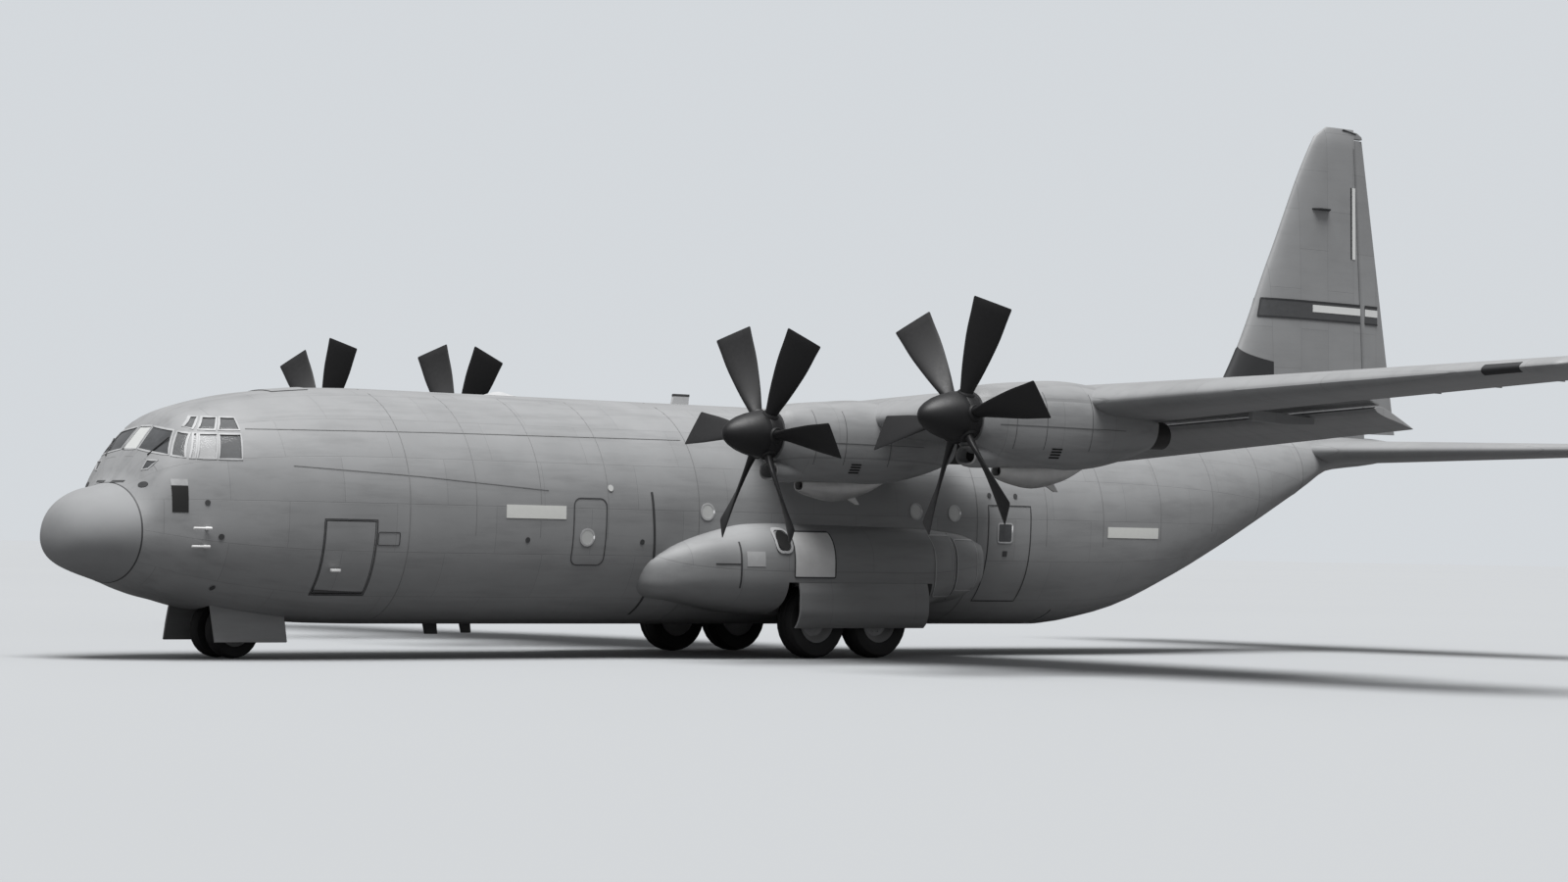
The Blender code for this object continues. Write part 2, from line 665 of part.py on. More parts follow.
def build_wing(grey, light):
    """Centre and outer wings, flaps and ailerons."""
    centre = wing_centre_solid("wing_centre")
    finish(centre, grey)
    for side, label in ((1, "port"), (-1, "starboard")):
        outer = outer_wing_solid(f"outer_wing_{label}", side)
        finish(outer, grey)
        for name, first, last in (("inner", FLAP_ROOT, WING_BREAK - FLAP_GAP),
                                  ("outer", WING_BREAK + FLAP_GAP, FLAP_TIP)):
            rings = [flap_ring(x, side) for x in (first, last)]
            flap = loft(f"flap_{name}_{label}", rings)
            tracks = []
            for share in (0.2, 0.8):
                x = side * (first + (last - first) * share)
                tracks.append(flap_track(f"{label}_{name}_track_{share}", x))
            join(flap, *tracks)
            if name == "inner":
                cut(flap, wing_centre_solid(f"{label}_{name}_flap_seat", FIT, cutters))
            else:
                cut(flap, outer_wing_solid(f"{label}_{name}_flap_seat", side, FIT, cutters))
            finish(flap, light)
        ends = []
        for x in (AILERON_ROOT, AILERON_TIP):
            leading, trailing, middle, half = chord_line(x)
            hinge = leading + AILERON_HINGE * (trailing - leading)
            radius = 0.46 * half
            ends.append((side * x, hinge, middle + 0.03, radius, trailing, middle))
        aileron = vane(f"aileron_{label}", ends)
        for x, s, z, *_ in ends:
            inward = 0.08 if x == ends[0][0] else -0.08
            join(aileron, rod(f"{label}_aileron_pin_{abs(x)}", (x + side * inward, s, z),
                              (x - side * math.copysign(RUN - 3 * FIT, inward), s, z), PIN, 12,
                              cutters))
        set_pivot(aileron, ends[0][:3])
        finish(aileron, grey)


def flap_track(name, x):
    """One flap's carriage arm, running back under the wing to the flap."""
    leading, trailing, middle, _ = chord_line(x)
    cut_station = leading + WING_CUT * (trailing - leading)
    outline = ((cut_station - 0.35, middle - 0.32), (cut_station + 0.5, middle - 0.36),
               (trailing + 0.12, middle - 0.34), (trailing + 0.12, middle - 0.22),
               (cut_station + 0.4, middle - 0.16), (cut_station - 0.35, middle - 0.12))
    return prism(name, outline, x - 0.05, x + 0.05, side_view, cutters)


def build_engine(position, label, side, grey, black):
    """One nacelle with its intakes and tailpipe, and its six-blade propeller."""
    out, hub_station, z = ENGINES[position]
    x = side * out
    aft = hub_station - 11.49
    # Nacelle sections: station, half width, reach above the hub, reach below it
    sections = (
        (11.72, 0.45, 0.45, 0.47), (11.88, 0.52, 0.53, 0.60), (12.30, 0.58, 0.59, 0.80),
        (12.90, 0.62, 0.64, 0.86),
        (13.70, 0.64, 0.69, 0.87), (14.50, 0.62, 0.64, 0.80), (15.20, 0.54, 0.40, 0.66),
        (15.85, 0.42, 0.12, 0.46),
    )
    rings = [oval(x, s + aft, z, half, up, down) for s, half, up, down in sections]
    nacelle = loft(f"nacelle_{position}_{label}", rings)
    chin = loft(f"{label}_{position}_chin", [
        oval(x, 11.70 + aft, z - 0.66, 0.25, 0.17, 0.15, 2.4, 12),
        oval(x, 12.00 + aft, z - 0.63, 0.31, 0.20, 0.22, 2.4, 12),
        oval(x, 12.90 + aft, z - 0.50, 0.34, 0.28, 0.30, 2.4, 12)], collection=cutters)
    scoop = loft(f"{label}_{position}_scoop", [
        oval(x, 12.40 + aft, z - 0.88, 0.13, 0.12, 0.10, 2.4, 12),
        oval(x, 12.80 + aft, z - 0.92, 0.21, 0.20, 0.13, 2.4, 12),
        oval(x, 13.50 + aft, z - 0.88, 0.22, 0.22, 0.15, 2.4, 12),
        oval(x, 14.55 + aft, z - 0.66, 0.10, 0.10, 0.08, 2.4, 12)], collection=cutters)
    pipe = rod(f"{label}_{position}_pipe", (x, 15.3 + aft, z - 0.16), (x, 16.35 + aft, z - 0.18),
               0.24, 16, cutters)
    join(nacelle, chin, scoop, pipe)
    mouth = loft(f"{label}_{position}_mouth", [
        oval(x, 11.54 + aft, z - 0.66, 0.21, 0.13, 0.11, 2.4, 12),
        oval(x, 12.00 + aft, z - 0.65, 0.19, 0.12, 0.10, 2.4, 12)], collection=cutters)
    bore = rod(f"{label}_{position}_bore", (x, 16.0 + aft, z - 0.17), (x, 16.6 + aft, z - 0.18),
               0.20, 16, cutters)
    inlet = loft(f"{label}_{position}_inlet", [
        oval(x, 12.30 + aft, z - 0.88, 0.10, 0.09, 0.07, 2.4, 12),
        oval(x, 12.60 + aft, z - 0.88, 0.09, 0.08, 0.06, 2.4, 12)], collection=cutters)
    cut(nacelle, mouth, bore, inlet)
    if position == "inner":
        cut(nacelle, wing_centre_solid(f"{label}_{position}_seat", FIT, cutters))
    else:
        cut(nacelle, outer_wing_solid(f"{label}_{position}_seat", side, FIT, cutters))
    finish(nacelle, grey)
    build_propeller(position, label, side, black)


def blade_ring(radius, chord, thick, pitch, angle, hub):
    """One section of a propeller blade, square to its own length."""
    x0, station0, z0 = hub
    outward = (math.sin(angle), math.cos(angle))
    across = (math.cos(angle), -math.sin(angle))
    points = []
    for along, up in ((-0.5, 0.0), (-0.2, 0.5), (0.2, 0.4), (0.5, 0.0), (0.2, -0.4), (-0.2, -0.5)):
        a = along * chord * math.cos(pitch) - up * thick * math.sin(pitch)
        b = along * chord * math.sin(pitch) + up * thick * math.cos(pitch)
        points.append((x0 + outward[0] * radius + across[0] * a, station0 + b,
                       z0 + outward[1] * radius + across[1] * a))
    return points


def build_propeller(position, label, side, black):
    """Spinner and blades in one piece, turning about the engine's line."""
    out, station, z = ENGINES[position]
    x = side * out
    # Spinner: radius and distance ahead of the blades' line
    profile = ((0.0, 0.84), (0.14, 0.78), (0.27, 0.60), (0.37, 0.32), (0.42, 0.04), (0.43, -0.21),
               (0.0, -0.21))
    spinner = turned(f"propeller_{position}_{label}", profile, (x, station, z), (0, -1, 0), 20)
    # Blade sections: radius, chord, thickness, pitch in degrees
    table = ((0.36, 0.22, 0.16, 60), (0.62, 0.31, 0.10, 52), (1.00, 0.45, 0.075, 44),
             (1.50, 0.60, 0.055, 36), (PROP_RADIUS, 0.70, 0.035, 29))
    first = math.radians(26 if position == "inner" else 37) * -1
    for count in range(BLADES):
        angle = first + math.tau * count / BLADES
        rings = [blade_ring(r, chord, thick, math.radians(pitch), angle, (x, station + 0.05, z))
                 for r, chord, thick, pitch in table]
        join(spinner, loft(f"{label}_{position}_blade_{count}", rings, collection=cutters))
    shaft = rod(f"{label}_{position}_shaft", (x, station + 0.1, z),
                (x, station + 0.23 - FIT, z), 0.12, 12, cutters)
    join(spinner, shaft)
    finish(spinner, black)


def stab_ring(x, grow=0.0):
    """The tailplane's section ahead of the elevator's hinge."""
    share = abs(x) / STAB_HALF_SPAN
    leading = 30.42 + 1.46 * share
    half = 0.27 - 0.15 * share
    end = STAB_HINGE - 0.75 * half - RUN
    shape = ((0.0, 0.0), (0.03, 0.42), (0.14, 0.80), (0.36, 1.0), (0.68, 0.92), (1.0, 0.76))
    chord = end - leading + 2 * grow
    top = [(x, leading - grow + chord * a, STAB_Z + b * half + grow) for a, b in shape[1:]]
    under = [(x, s, 2 * STAB_Z - z) for x, s, z in reversed(top)]
    return [(x, leading - grow, STAB_Z)] + top + under


def stab_solid(name, grow=0.0, collection=None):
    """The tailplane from tip to tip."""
    tip = STAB_HALF_SPAN - 0.12
    ends = [stab_ring(x, grow) for x in (-tip, 0.0, tip)]
    for side, place in ((-1, 0), (1, len(ends))):
        last = stab_ring(side * tip, grow)
        ends.insert(place, [(side * STAB_HALF_SPAN, 32.4 + (s - 32.4) * 0.80,
                             STAB_Z + (z - STAB_Z) * 0.4) for _, s, z in last])
    if ends[-1][0][0] < ends[-2][0][0]:
        ends.append(ends.pop(-2))
    return loft(name, ends, collection=collection)


def build_tail(grey, black):
    """Fin, rudder, tailplane and elevators."""
    # Fin sections: height, leading station, half thickness
    table = ((4.55, 26.20, 0.16), (4.92, 27.00, 0.22), (5.45, 27.95, 0.26), (6.06, 28.52, 0.27),
             (8.80, 29.88, 0.20), (11.55, 31.25, 0.11), (FIN_TOP, 31.62, 0.05))
    low_s, low_z = FIN_HINGE_LOW
    high_s, high_z = FIN_HINGE_HIGH
    rings = []
    for z, leading, half in table:
        hinge = low_s + (high_s - low_s) * (z - low_z) / (high_z - low_z)
        end = hinge - 0.72 * half - RUN
        shape = ((0.0, 0.0), (0.03, 0.42), (0.14, 0.80), (0.36, 1.0), (0.70, 0.92), (1.0, 0.72))
        side = [(b * half, leading + (end - leading) * a, z) for a, b in shape[1:]]
        other = [(-x, s, z) for x, s, z in reversed(side)]
        rings.append([(0.0, leading, z)] + side + other)
    fin = loft("fin", rings)
    cut(fin, hull_solid("fin_seat", 20.0, TAIL_END - 0.02, -FIT, cutters))
    finish(fin, grey)

    rings = []
    for z, radius, trail in ((low_z + 0.03, 0.155, 34.10), (high_z, 0.07, 32.86)):
        hinge = low_s + (high_s - low_s) * (z - low_z) / (high_z - low_z)
        ring = []
        for i in range(7):
            angle = math.pi / 2 + math.pi * i / 6
            ring.append((radius * math.sin(angle), hinge + radius * math.cos(angle), z))
        ring += [(-0.012, trail, z), (0.012, trail, z)]
        rings.append(ring)
    rudder = loft("rudder", rings)
    crown = 4.8235          # top of the tail cone under the rudder's pin
    join(rudder, rod("rudder_pin", (0, low_s, crown), (0, low_s, low_z + 0.1), 0.04, 12, cutters))
    set_pivot(rudder, (0.0, low_s, low_z))
    finish(rudder, grey)

    finish(stab_solid("tailplane"), grey)
    for side, label in ((1, "port"), (-1, "starboard")):
        root = ELEVATOR_ROOT + RUN
        ends = ((side * root, STAB_HINGE, STAB_Z, 0.19, 34.30, STAB_Z),
                (side * 7.86, STAB_HINGE, STAB_Z, 0.09, 33.80, STAB_Z))
        elevator = vane(f"elevator_{label}", ends)
        # The inner end is cut back at a slant, clear of the turned rudder
        corner = ((side * 0.2, 33.16), (side * 0.2, 34.5), (side * 0.80, 34.5))
        cut(elevator, prism(f"{label}_elevator_cutback", corner, 4.1, 4.8, plan_view, cutters))
        join(elevator, rod(f"{label}_elevator_pin", (side * (root + 0.1), STAB_HINGE, STAB_Z),
                           (side * (ELEVATOR_ROOT + FIT), STAB_HINGE, STAB_Z), 0.05, 16, cutters))
        set_pivot(elevator, ends[0][:3])
        finish(elevator, grey)


def sponson_ring(station, out, top, bottom, side):
    """One section of a wheel fairing, which the fuselage then trims."""
    middle = (top + bottom) / 2
    return oval(side * 1.5, station, middle, out - 1.5, top - middle, middle - bottom, 2.8, 20)


def build_sponson(side, label, grey):
    """Wheel fairing on the fuselage's side, with its wheel door."""
    # Sections: station, outermost X, top, bottom
    table = ((11.15, 2.20, 1.96, 1.60), (11.75, 2.46, 2.20, 1.20), (12.55, 2.62, 2.44, 0.98),
             (13.40, 2.70, 2.60, 0.86), (14.20, 2.72, 2.62, 0.82), (17.60, 2.72, 2.58, 0.82),
             (18.10, 2.64, 2.56, 1.00), (18.80, 2.46, 2.52, 1.08), (19.42, 2.22, 2.40, 1.30))
    sponson = loft(f"sponson_{label}", [sponson_ring(*row, side) for row in table])
    cut(sponson, hull_solid(f"{label}_sponson_seat", 9.0, 21.0, -FIT, cutters))
    cut(sponson, wheel_well(f"{label}_sponson_well", side))
    finish(sponson, grey)

    outline = [(side * x, z) for x, z in
               ((2.64, WELL_LIP - FIT), (2.70, WELL_LIP - FIT), (2.76, 1.20), (2.76, 0.92),
                (2.68, 0.66), (2.60, 0.58), (2.57, 0.62), (2.64, 0.70), (2.71, 0.92), (2.71, 1.20))]
    door = prism(f"wheel_door_{label}", outline, 14.30, 17.52, front_view)
    finish(door, grey)


def build_main_gear(side, label, metal, tyre):
    """Two struts on one beam, each with its wheel."""
    x = side * 1.76
    front, rear = MAIN_STATIONS["front"], MAIN_STATIONS["rear"]
    leg = rod(f"main_gear_{label}", (x, front, 0.58), (x, front, WELL_ROOF - FIT), 0.09)
    other = rod(f"{label}_rear_strut", (x, rear, 0.58), (x, rear, WELL_ROOF - FIT), 0.09,
                collection=cutters)
    beam = box(f"{label}_beam", (x - 0.06, front, 1.50), (x + 0.06, rear, 1.66), cutters)
    join(leg, other, beam)
    hub = side * (MAIN_X - 0.15)
    for name, station in MAIN_STATIONS.items():
        stub = rod(f"{label}_{name}_stub", (x, station, MAIN_RADIUS),
                   (hub - side * FIT, station, MAIN_RADIUS), 0.07, collection=cutters)
        join(leg, stub)
        half = MAIN_WIDTH / 2
        radius = MAIN_RADIUS
        # Wheel profile: radius and height along the axle, outer side first
        outer = ((0.0, 0.15), (0.29, 0.15), (0.33, 0.21), (0.58, half), (radius - 0.05, 0.17),
                 (radius, 0.06))
        profile = outer + tuple((r, -h) for r, h in reversed(outer))
        wheel = turned(f"main_wheel_{name}_{label}", profile, (side * MAIN_X, station, radius),
                       (side, 0, 0), 24)
        finish(wheel, tyre)
    finish(leg, metal)


def build_nose_gear(metal, tyre, grey):
    """Fixed housing, steered leg, twin wheels on one axle and two open doors."""
    first, last, half, roof = NOSE_WELL
    s = NOSE_STATION
    housing = rod("nose_leg_housing", (0, s, 1.38), (0, s, roof - FIT), 0.14)
    finish(housing, metal)

    leg = rod("nose_leg", (0, s, 0.36), (0, s, 1.38 - FIT), 0.095)
    cut(leg, rod("axle_bore", (-0.4, s, NOSE_RADIUS), (0.4, s, NOSE_RADIUS), 0.0465, 16, cutters))
    set_pivot(leg, (0.0, s, 1.38))
    finish(leg, metal)

    wheels = rod("nose_wheels", (-NOSE_X, s, NOSE_RADIUS), (NOSE_X, s, NOSE_RADIUS), 0.045)
    radius = NOSE_RADIUS
    outer = ((0.0, 0.09), (0.19, 0.09), (0.22, 0.12), (0.40, NOSE_WIDTH / 2), (radius - 0.04, 0.10),
             (radius, 0.04))
    profile = outer + tuple((r, -h) for r, h in reversed(outer))
    for side, label in ((1, "port"), (-1, "starboard")):
        wheel = turned(f"{label}_nose_wheel", profile, (side * NOSE_X, s, radius), (side, 0, 0), 16)
        join(wheels, wheel)
        outline = [(side * (half + x), z) for x, z in
                   ((0.01, 0.95), (0.05, 0.95), (0.24, 0.30), (0.20, 0.29))]
        door = prism(f"nose_gear_door_{label}", outline, first + 0.02, last - 0.02, front_view)
        cut(door, hull_solid(f"{label}_nose_door_seat", 1.5, 6.0, -FIT, cutters))
        finish(door, grey)
    set_pivot(wheels, (0.0, s, NOSE_RADIUS))
    finish(wheels, tyre)


def blade_antenna(name, station, length, low, high):
    """A swept blade standing on the crown or under the belly, to be welded to its panel."""
    outline = ((station, low), (station + length, low), (station + length + 0.03, high),
               (station + 0.06, high))
    return prism(name, outline, -0.03, 0.03, side_view, cutters)


def main():
    for item in list(bpy.data.objects):
        bpy.data.objects.remove(item, do_unlink=True)
    scene = bpy.context.scene
    scene.collection.children.link(parts)
    scene.collection.children.link(cutters)

    grey = paint("airframe_grey", (0.30, 0.31, 0.32), 0.55)
    light = paint("flap_grey", (0.36, 0.37, 0.38), 0.50)
    black = paint("blade_black", (0.03, 0.03, 0.032), 0.45)
    metal = paint("gear_metal", (0.55, 0.56, 0.57), 0.40, 0.6)
    dark = paint("panel_black", (0.05, 0.05, 0.055), 0.70)
    cloth = paint("seat_cloth", (0.12, 0.13, 0.14), 0.90)
    tyre = paint("tyre_rubber", (0.03, 0.03, 0.03), 0.85)
    glass = paint("cockpit_glass", (0.20, 0.22, 0.24), 0.08)

    build_nose(grey)
    build_glazing(glass)
    build_barrels(grey)
    build_doors(grey)
    build_interior(metal, dark, cloth)
    build_wing(grey, light)
    for side, label in ((1, "port"), (-1, "starboard")):
        for position in ENGINES:
            build_engine(position, label, side, grey, black)
        build_sponson(side, label, grey)
        build_main_gear(side, label, metal, tyre)
    build_nose_gear(metal, tyre, grey)
    build_tail(grey, black)


main()
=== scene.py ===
"""Looks of a half-scale military transport plane with four turboprops, parked on its gear.

Sizes are the full-size plane's, in metres. X is to port, a station is the distance aft of the nose
tip and Z is the height above the ground. SCALE halves them as points are made.
"""

import bisect
import math

import bpy
from mathutils import Matrix, Vector


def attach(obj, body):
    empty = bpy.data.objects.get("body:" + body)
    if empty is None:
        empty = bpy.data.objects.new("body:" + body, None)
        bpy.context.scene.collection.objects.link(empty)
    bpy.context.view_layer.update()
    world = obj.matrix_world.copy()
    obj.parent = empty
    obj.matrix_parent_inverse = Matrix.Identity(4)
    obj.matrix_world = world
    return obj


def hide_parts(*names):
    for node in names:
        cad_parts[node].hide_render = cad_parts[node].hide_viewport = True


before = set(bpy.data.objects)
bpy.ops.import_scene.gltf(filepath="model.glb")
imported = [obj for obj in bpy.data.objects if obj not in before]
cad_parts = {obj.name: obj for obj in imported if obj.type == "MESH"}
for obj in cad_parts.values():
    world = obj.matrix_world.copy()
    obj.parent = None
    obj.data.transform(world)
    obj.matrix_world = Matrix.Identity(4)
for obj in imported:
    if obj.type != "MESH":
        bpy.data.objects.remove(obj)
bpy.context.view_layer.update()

SCALE = 0.5
MID_STATION = 17.18
SKIN = 0.05
RUN = 0.014
RING = 96
LIFT = 0.006             # how far a painted strip stands off the skin
MERGE = 0.00002          # points of the model nearer than this become one
SHARP = 35               # edges turning by more degrees stay sharp on shells and cut pieces

NOSE_TIP = 0.02
RADOME_END = 1.10
NOSE_END = 5.90
FORWARD_END = 12.30
CENTRE_END = 19.30
AFT_END = 30.00
TAIL_END = 34.32
FLOOR_TOP = 1.03
DECK_TOP = 2.362

WING_BREAK = 5.60
WING_TIP = 20.20
WING_LE, WING_TE = 13.72, 18.60
TIP_LE, TIP_TE = 14.95, 17.35
WING_Z = 4.22
DIHEDRAL = 0.0445
WING_CUT = 0.71
FLAP_ROOT, FLAP_TIP, FLAP_GAP = 2.35, 13.75, 0.03
AILERON_ROOT, AILERON_TIP, AILERON_HINGE = 13.90, 19.70, 0.76

ENGINES = {"inner": (4.95, 11.49, 4.13), "outer": (10.16, 11.56, 4.36)}
FIRST_BLADE = {"inner": -26, "outer": -37}
ENGINE_DATUM = 11.49     # the hub station that a nacelle's measures are given for
NACELLE_POWER, INTAKE_POWER = 2.2, 2.4
PROP_RADIUS = 2.055
BLADES = 6

FIN_HINGE_LOW = (33.08, 4.90)
FIN_HINGE_HIGH = (32.62, 11.60)
FIN_TOP = 11.84
STAB_HALF_SPAN, STAB_Z, STAB_HINGE = 8.02, 4.45, 33.02
ELEVATOR_ROOT, ELEVATOR_TIP = 0.30, 7.86
ELEVATOR_TRAIL, ELEVATOR_TAPER = 34.30, 0.50

MAIN_X, MAIN_RADIUS, MAIN_WIDTH = 2.20, 0.71, 0.48
MAIN_STATIONS = {"front": 15.00, "rear": 16.56}
NOSE_STATION, NOSE_X, NOSE_RADIUS, NOSE_WIDTH = 3.47, 0.27, 0.495, 0.28
WELL_STATIONS, WELL_ROOF, WELL_INNER, WELL_LIP = (14.05, 17.65), 1.97, 1.58, 1.45
NOSE_WELL = (2.74, 4.22, 0.68, 1.90)

CREW_DOOR = (4.22, 5.22, 1.16, 2.44)
JUMP_DOOR = (19.60, 20.75, 1.10, 3.02)
RAMP = (22.03, 25.20)
CARGO_DOOR = (25.24, 29.20)
RAMP_HALF_WIDTH, CARGO_TAIL_HALF_WIDTH = 1.42, 0.72
RAMP_HINGE, RAMP_LUG = (22.09, 0.67), (0.58, 0.64)
CARGO_HINGE = (29.16, 3.08)
PIN = 0.028
CREW_DOOR_RUN = 0.022
CAMERA_AT = (54.8270, -28.2944, 2.11912)
TYRE_STEPS = 28          # few enough that all the tyres stay under 6,000 triangles
SIDES = ((1, "port"), (-1, "starboard"))

# Fuselage sections: station, top, bottom, half width, widest height, upper power, lower power
HULL = (
    (NOSE_TIP, 2.06, 2.06, 0.00, 2.06, 2.0, 2.0),
    (0.12, 2.50, 1.72, 0.50, 2.08, 2.0, 2.0),
    (0.32, 2.73, 1.57, 0.80, 2.10, 2.0, 2.0),
    (0.64, 2.90, 1.44, 1.05, 2.13, 2.0, 2.0),
    (1.10, 3.02, 1.30, 1.29, 2.17, 2.1, 2.1),
    (1.50, 3.58, 1.15, 1.47, 2.22, 3.2, 2.1),
    (1.86, 4.03, 1.05, 1.63, 2.28, 3.0, 2.2),
    (2.10, 4.26, 1.00, 1.72, 2.33, 2.7, 2.2),
    (2.60, 4.45, 0.88, 1.87, 2.43, 2.4, 2.3),
    (3.30, 4.62, 0.77, 2.00, 2.54, 2.2, 2.4),
    (4.20, 4.74, 0.66, 2.10, 2.64, 2.1, 2.5),
    (5.20, 4.82, 0.61, 2.15, 2.71, 2.0, 2.6),
    (6.20, 4.84, 0.60, 2.16, 2.72, 2.0, 2.6),
    (22.40, 4.84, 0.60, 2.15, 2.72, 2.0, 2.6),
    (23.30, 4.84, 0.72, 2.11, 2.78, 2.0, 2.7),
    (24.20, 4.84, 0.92, 2.04, 2.84, 2.0, 2.8),
    (25.70, 4.84, 1.48, 1.87, 3.00, 2.0, 2.8),
    (27.10, 4.84, 2.06, 1.62, 3.22, 2.0, 2.7),
    (28.60, 4.84, 2.72, 1.30, 3.52, 2.0, 2.5),
    (30.10, 4.84, 3.40, 0.97, 3.88, 2.0, 2.2),
    (31.56, 4.84, 4.03, 0.62, 4.34, 2.0, 2.0),
    (33.20, 4.82, 4.22, 0.34, 4.50, 2.0, 2.0),
    (34.34, 4.74, 4.42, 0.14, 4.58, 2.0, 2.0),
)


# Wheel fairing sections: station, height, half width about SPONSON_X, reach up, reach down
SPONSON_X, SPONSON_POWER = 1.5, 2.8
SPONSON = (
    (11.07, 1.56, 0.38, 0.20, 0.20),
    (11.21, 1.56, 0.60, 0.40, 0.36),
    (11.48, 1.58, 0.77, 0.51, 0.46),
    (11.75, 1.62, 0.92, 0.58, 0.52),
    (12.55, 1.69, 1.12, 0.75, 0.71),
    (13.40, 1.73, 1.20, 0.87, 0.87),
    (14.20, 1.72, 1.22, 0.90, 0.90),
    (17.60, 1.70, 1.22, 0.88, 0.88),
    (18.10, 1.78, 1.14, 0.78, 0.78),
    (18.80, 1.80, 0.96, 0.72, 0.72),
    (19.42, 1.85, 0.72, 0.55, 0.55),
)


def at(x, station, z):
    """A point of the full-size plane in the model's frame."""
    return Vector((x, station - MID_STATION, z)) * SCALE


def curve(places, values):
    """A smooth curve through the values that never swings past them."""
    steps = [(b - a) / (q - p) for p, q, a, b in zip(places, places[1:], values, values[1:])]
    inner = [2 * a * b / (a + b) if a * b > 0 else 0.0 for a, b in zip(steps, steps[1:])]
    slopes = [steps[0]] + inner + [steps[-1]]

    def value(place):
        i = min(max(bisect.bisect_right(places, place) - 1, 0), len(places) - 2)
        width = places[i + 1] - places[i]
        t = min(max((place - places[i]) / width, 0.0), 1.0)
        start = (2 * t ** 3 - 3 * t ** 2 + 1) * values[i] + (t ** 3 - 2 * t ** 2 + t) * width * slopes[i]
        end = (3 * t ** 2 - 2 * t ** 3) * values[i + 1] + (t ** 3 - t ** 2) * width * slopes[i + 1]
        return start + end
    return value


def table_curves(rows, reach=lambda place: place):
    """One smooth curve for each column of a table whose first column is the place."""
    places = [reach(row[0]) for row in rows]
    curves = [curve(places, column) for column in list(zip(*rows))[1:]]
    return lambda place: [value(reach(place)) for value in curves]


def nose_reach(station):
    """Stations counted so that the radome's tip is round."""
    return math.sqrt(max(station - NOSE_TIP, 0.0))


hull_section = table_curves(HULL, nose_reach)


def rounded(angle, power, half, up, down):
    """A point of a superellipse at an angle, about (0, 0)."""
    across = math.copysign(abs(math.cos(angle)) ** (2 / power), math.cos(angle))
    rise = math.copysign(abs(math.sin(angle)) ** (2 / power), math.sin(angle))
    return across * half, rise * (up if rise > 0 else down)


def hull_ring(station, inset=0.0):
    """Points round the fuselage at a station."""
    top, bottom, half, middle, upper, lower = hull_section(station)
    points = []
    for i in range(RING):
        angle = math.tau * i / RING
        power = upper if i < RING / 2 else lower
        x, z = rounded(angle, power, max(half - inset, 0.001), max(top - middle - inset, 0.001),
                       max(middle - bottom - inset, 0.001))
        points.append((x, station, middle + z))
    return points


def bulge(share, power):
    """How far out a superellipse still reaches at a share of its height."""
    return (1 - share ** power) ** (1 / power)


def hull_out(station, z, inset=0.0):
    """How far out the skin is at a station and height."""
    top, bottom, half, middle, upper, lower = hull_section(station)
    power, reach = (upper, top - middle) if z >= middle else (lower, middle - bottom)
    share = min(abs(z - middle) / max(reach - inset, 0.001), 1.0)
    return max(half - inset, 0.0) * bulge(share, power)


def hull_station(x, z, inset=0.0):
    """The station where the skin's front passes a point seen from ahead."""
    low, high = NOSE_TIP, NOSE_END
    for _ in range(30):
        middle = (low + high) / 2
        top = hull_section(middle)[0] - inset
        if top > z and hull_out(middle, z, inset) >= abs(x):
            high = middle
        else:
            low = middle
    return high


def on_side(side, lift=0.0):
    """Place (station, z) on one side's skin."""
    return lambda station, z: at(side * hull_out(station, z, -lift), station, z)


def on_front(lift=0.0):
    """Place (x, z) on the nose's front."""
    return lambda x, z: at(x, hull_station(x, z, -lift), z)


def sponson_reach(station):
    """Stations counted so that the fairing's front is blunt."""
    return math.sqrt(max(station - SPONSON[0][0], 0.0))


sponson_section = table_curves(SPONSON, sponson_reach)


def on_sponson(side, lift=0.0):
    """Place (station, z) on one wheel fairing's outer face."""
    def place(station, z):
        middle, half, up, down = sponson_section(station)
        reach = up if z > middle else down
        share = min(abs(z - middle) / reach, 1.0)
        return at(side * (SPONSON_X + half * bulge(share, SPONSON_POWER) + lift), station, z)
    return place


def clear():
    """Leave edit mode and deselect everything."""
    if bpy.context.object and bpy.context.object.mode != "OBJECT":
        bpy.ops.object.mode_set(mode="OBJECT")
    bpy.ops.object.select_all(action="DESELECT")


def only(piece):
    """Select one piece and nothing else."""
    clear()
    piece.select_set(True)
    bpy.context.view_layer.objects.active = piece


def start(name, add, **settings):
    """Add a primitive, name it and set its place into its mesh."""
    clear()
    add(**settings)
    piece = bpy.context.object
    piece.name = piece.data.name = name
    bpy.ops.object.transform_apply(location=True, rotation=True, scale=True)
    return piece


def edit(piece, *steps):
    """Run edit-mode operators on the whole mesh."""
    only(piece)
    bpy.ops.object.mode_set(mode="EDIT")
    bpy.ops.mesh.select_all(action="SELECT")
    for step in steps:
        step()
    bpy.ops.object.mode_set(mode="OBJECT")
    return piece


def tidy_mesh():
    """Merge doubles and turn every face outwards."""
    bpy.ops.mesh.remove_doubles(threshold=MERGE)
    bpy.ops.mesh.normals_make_consistent(inside=False)


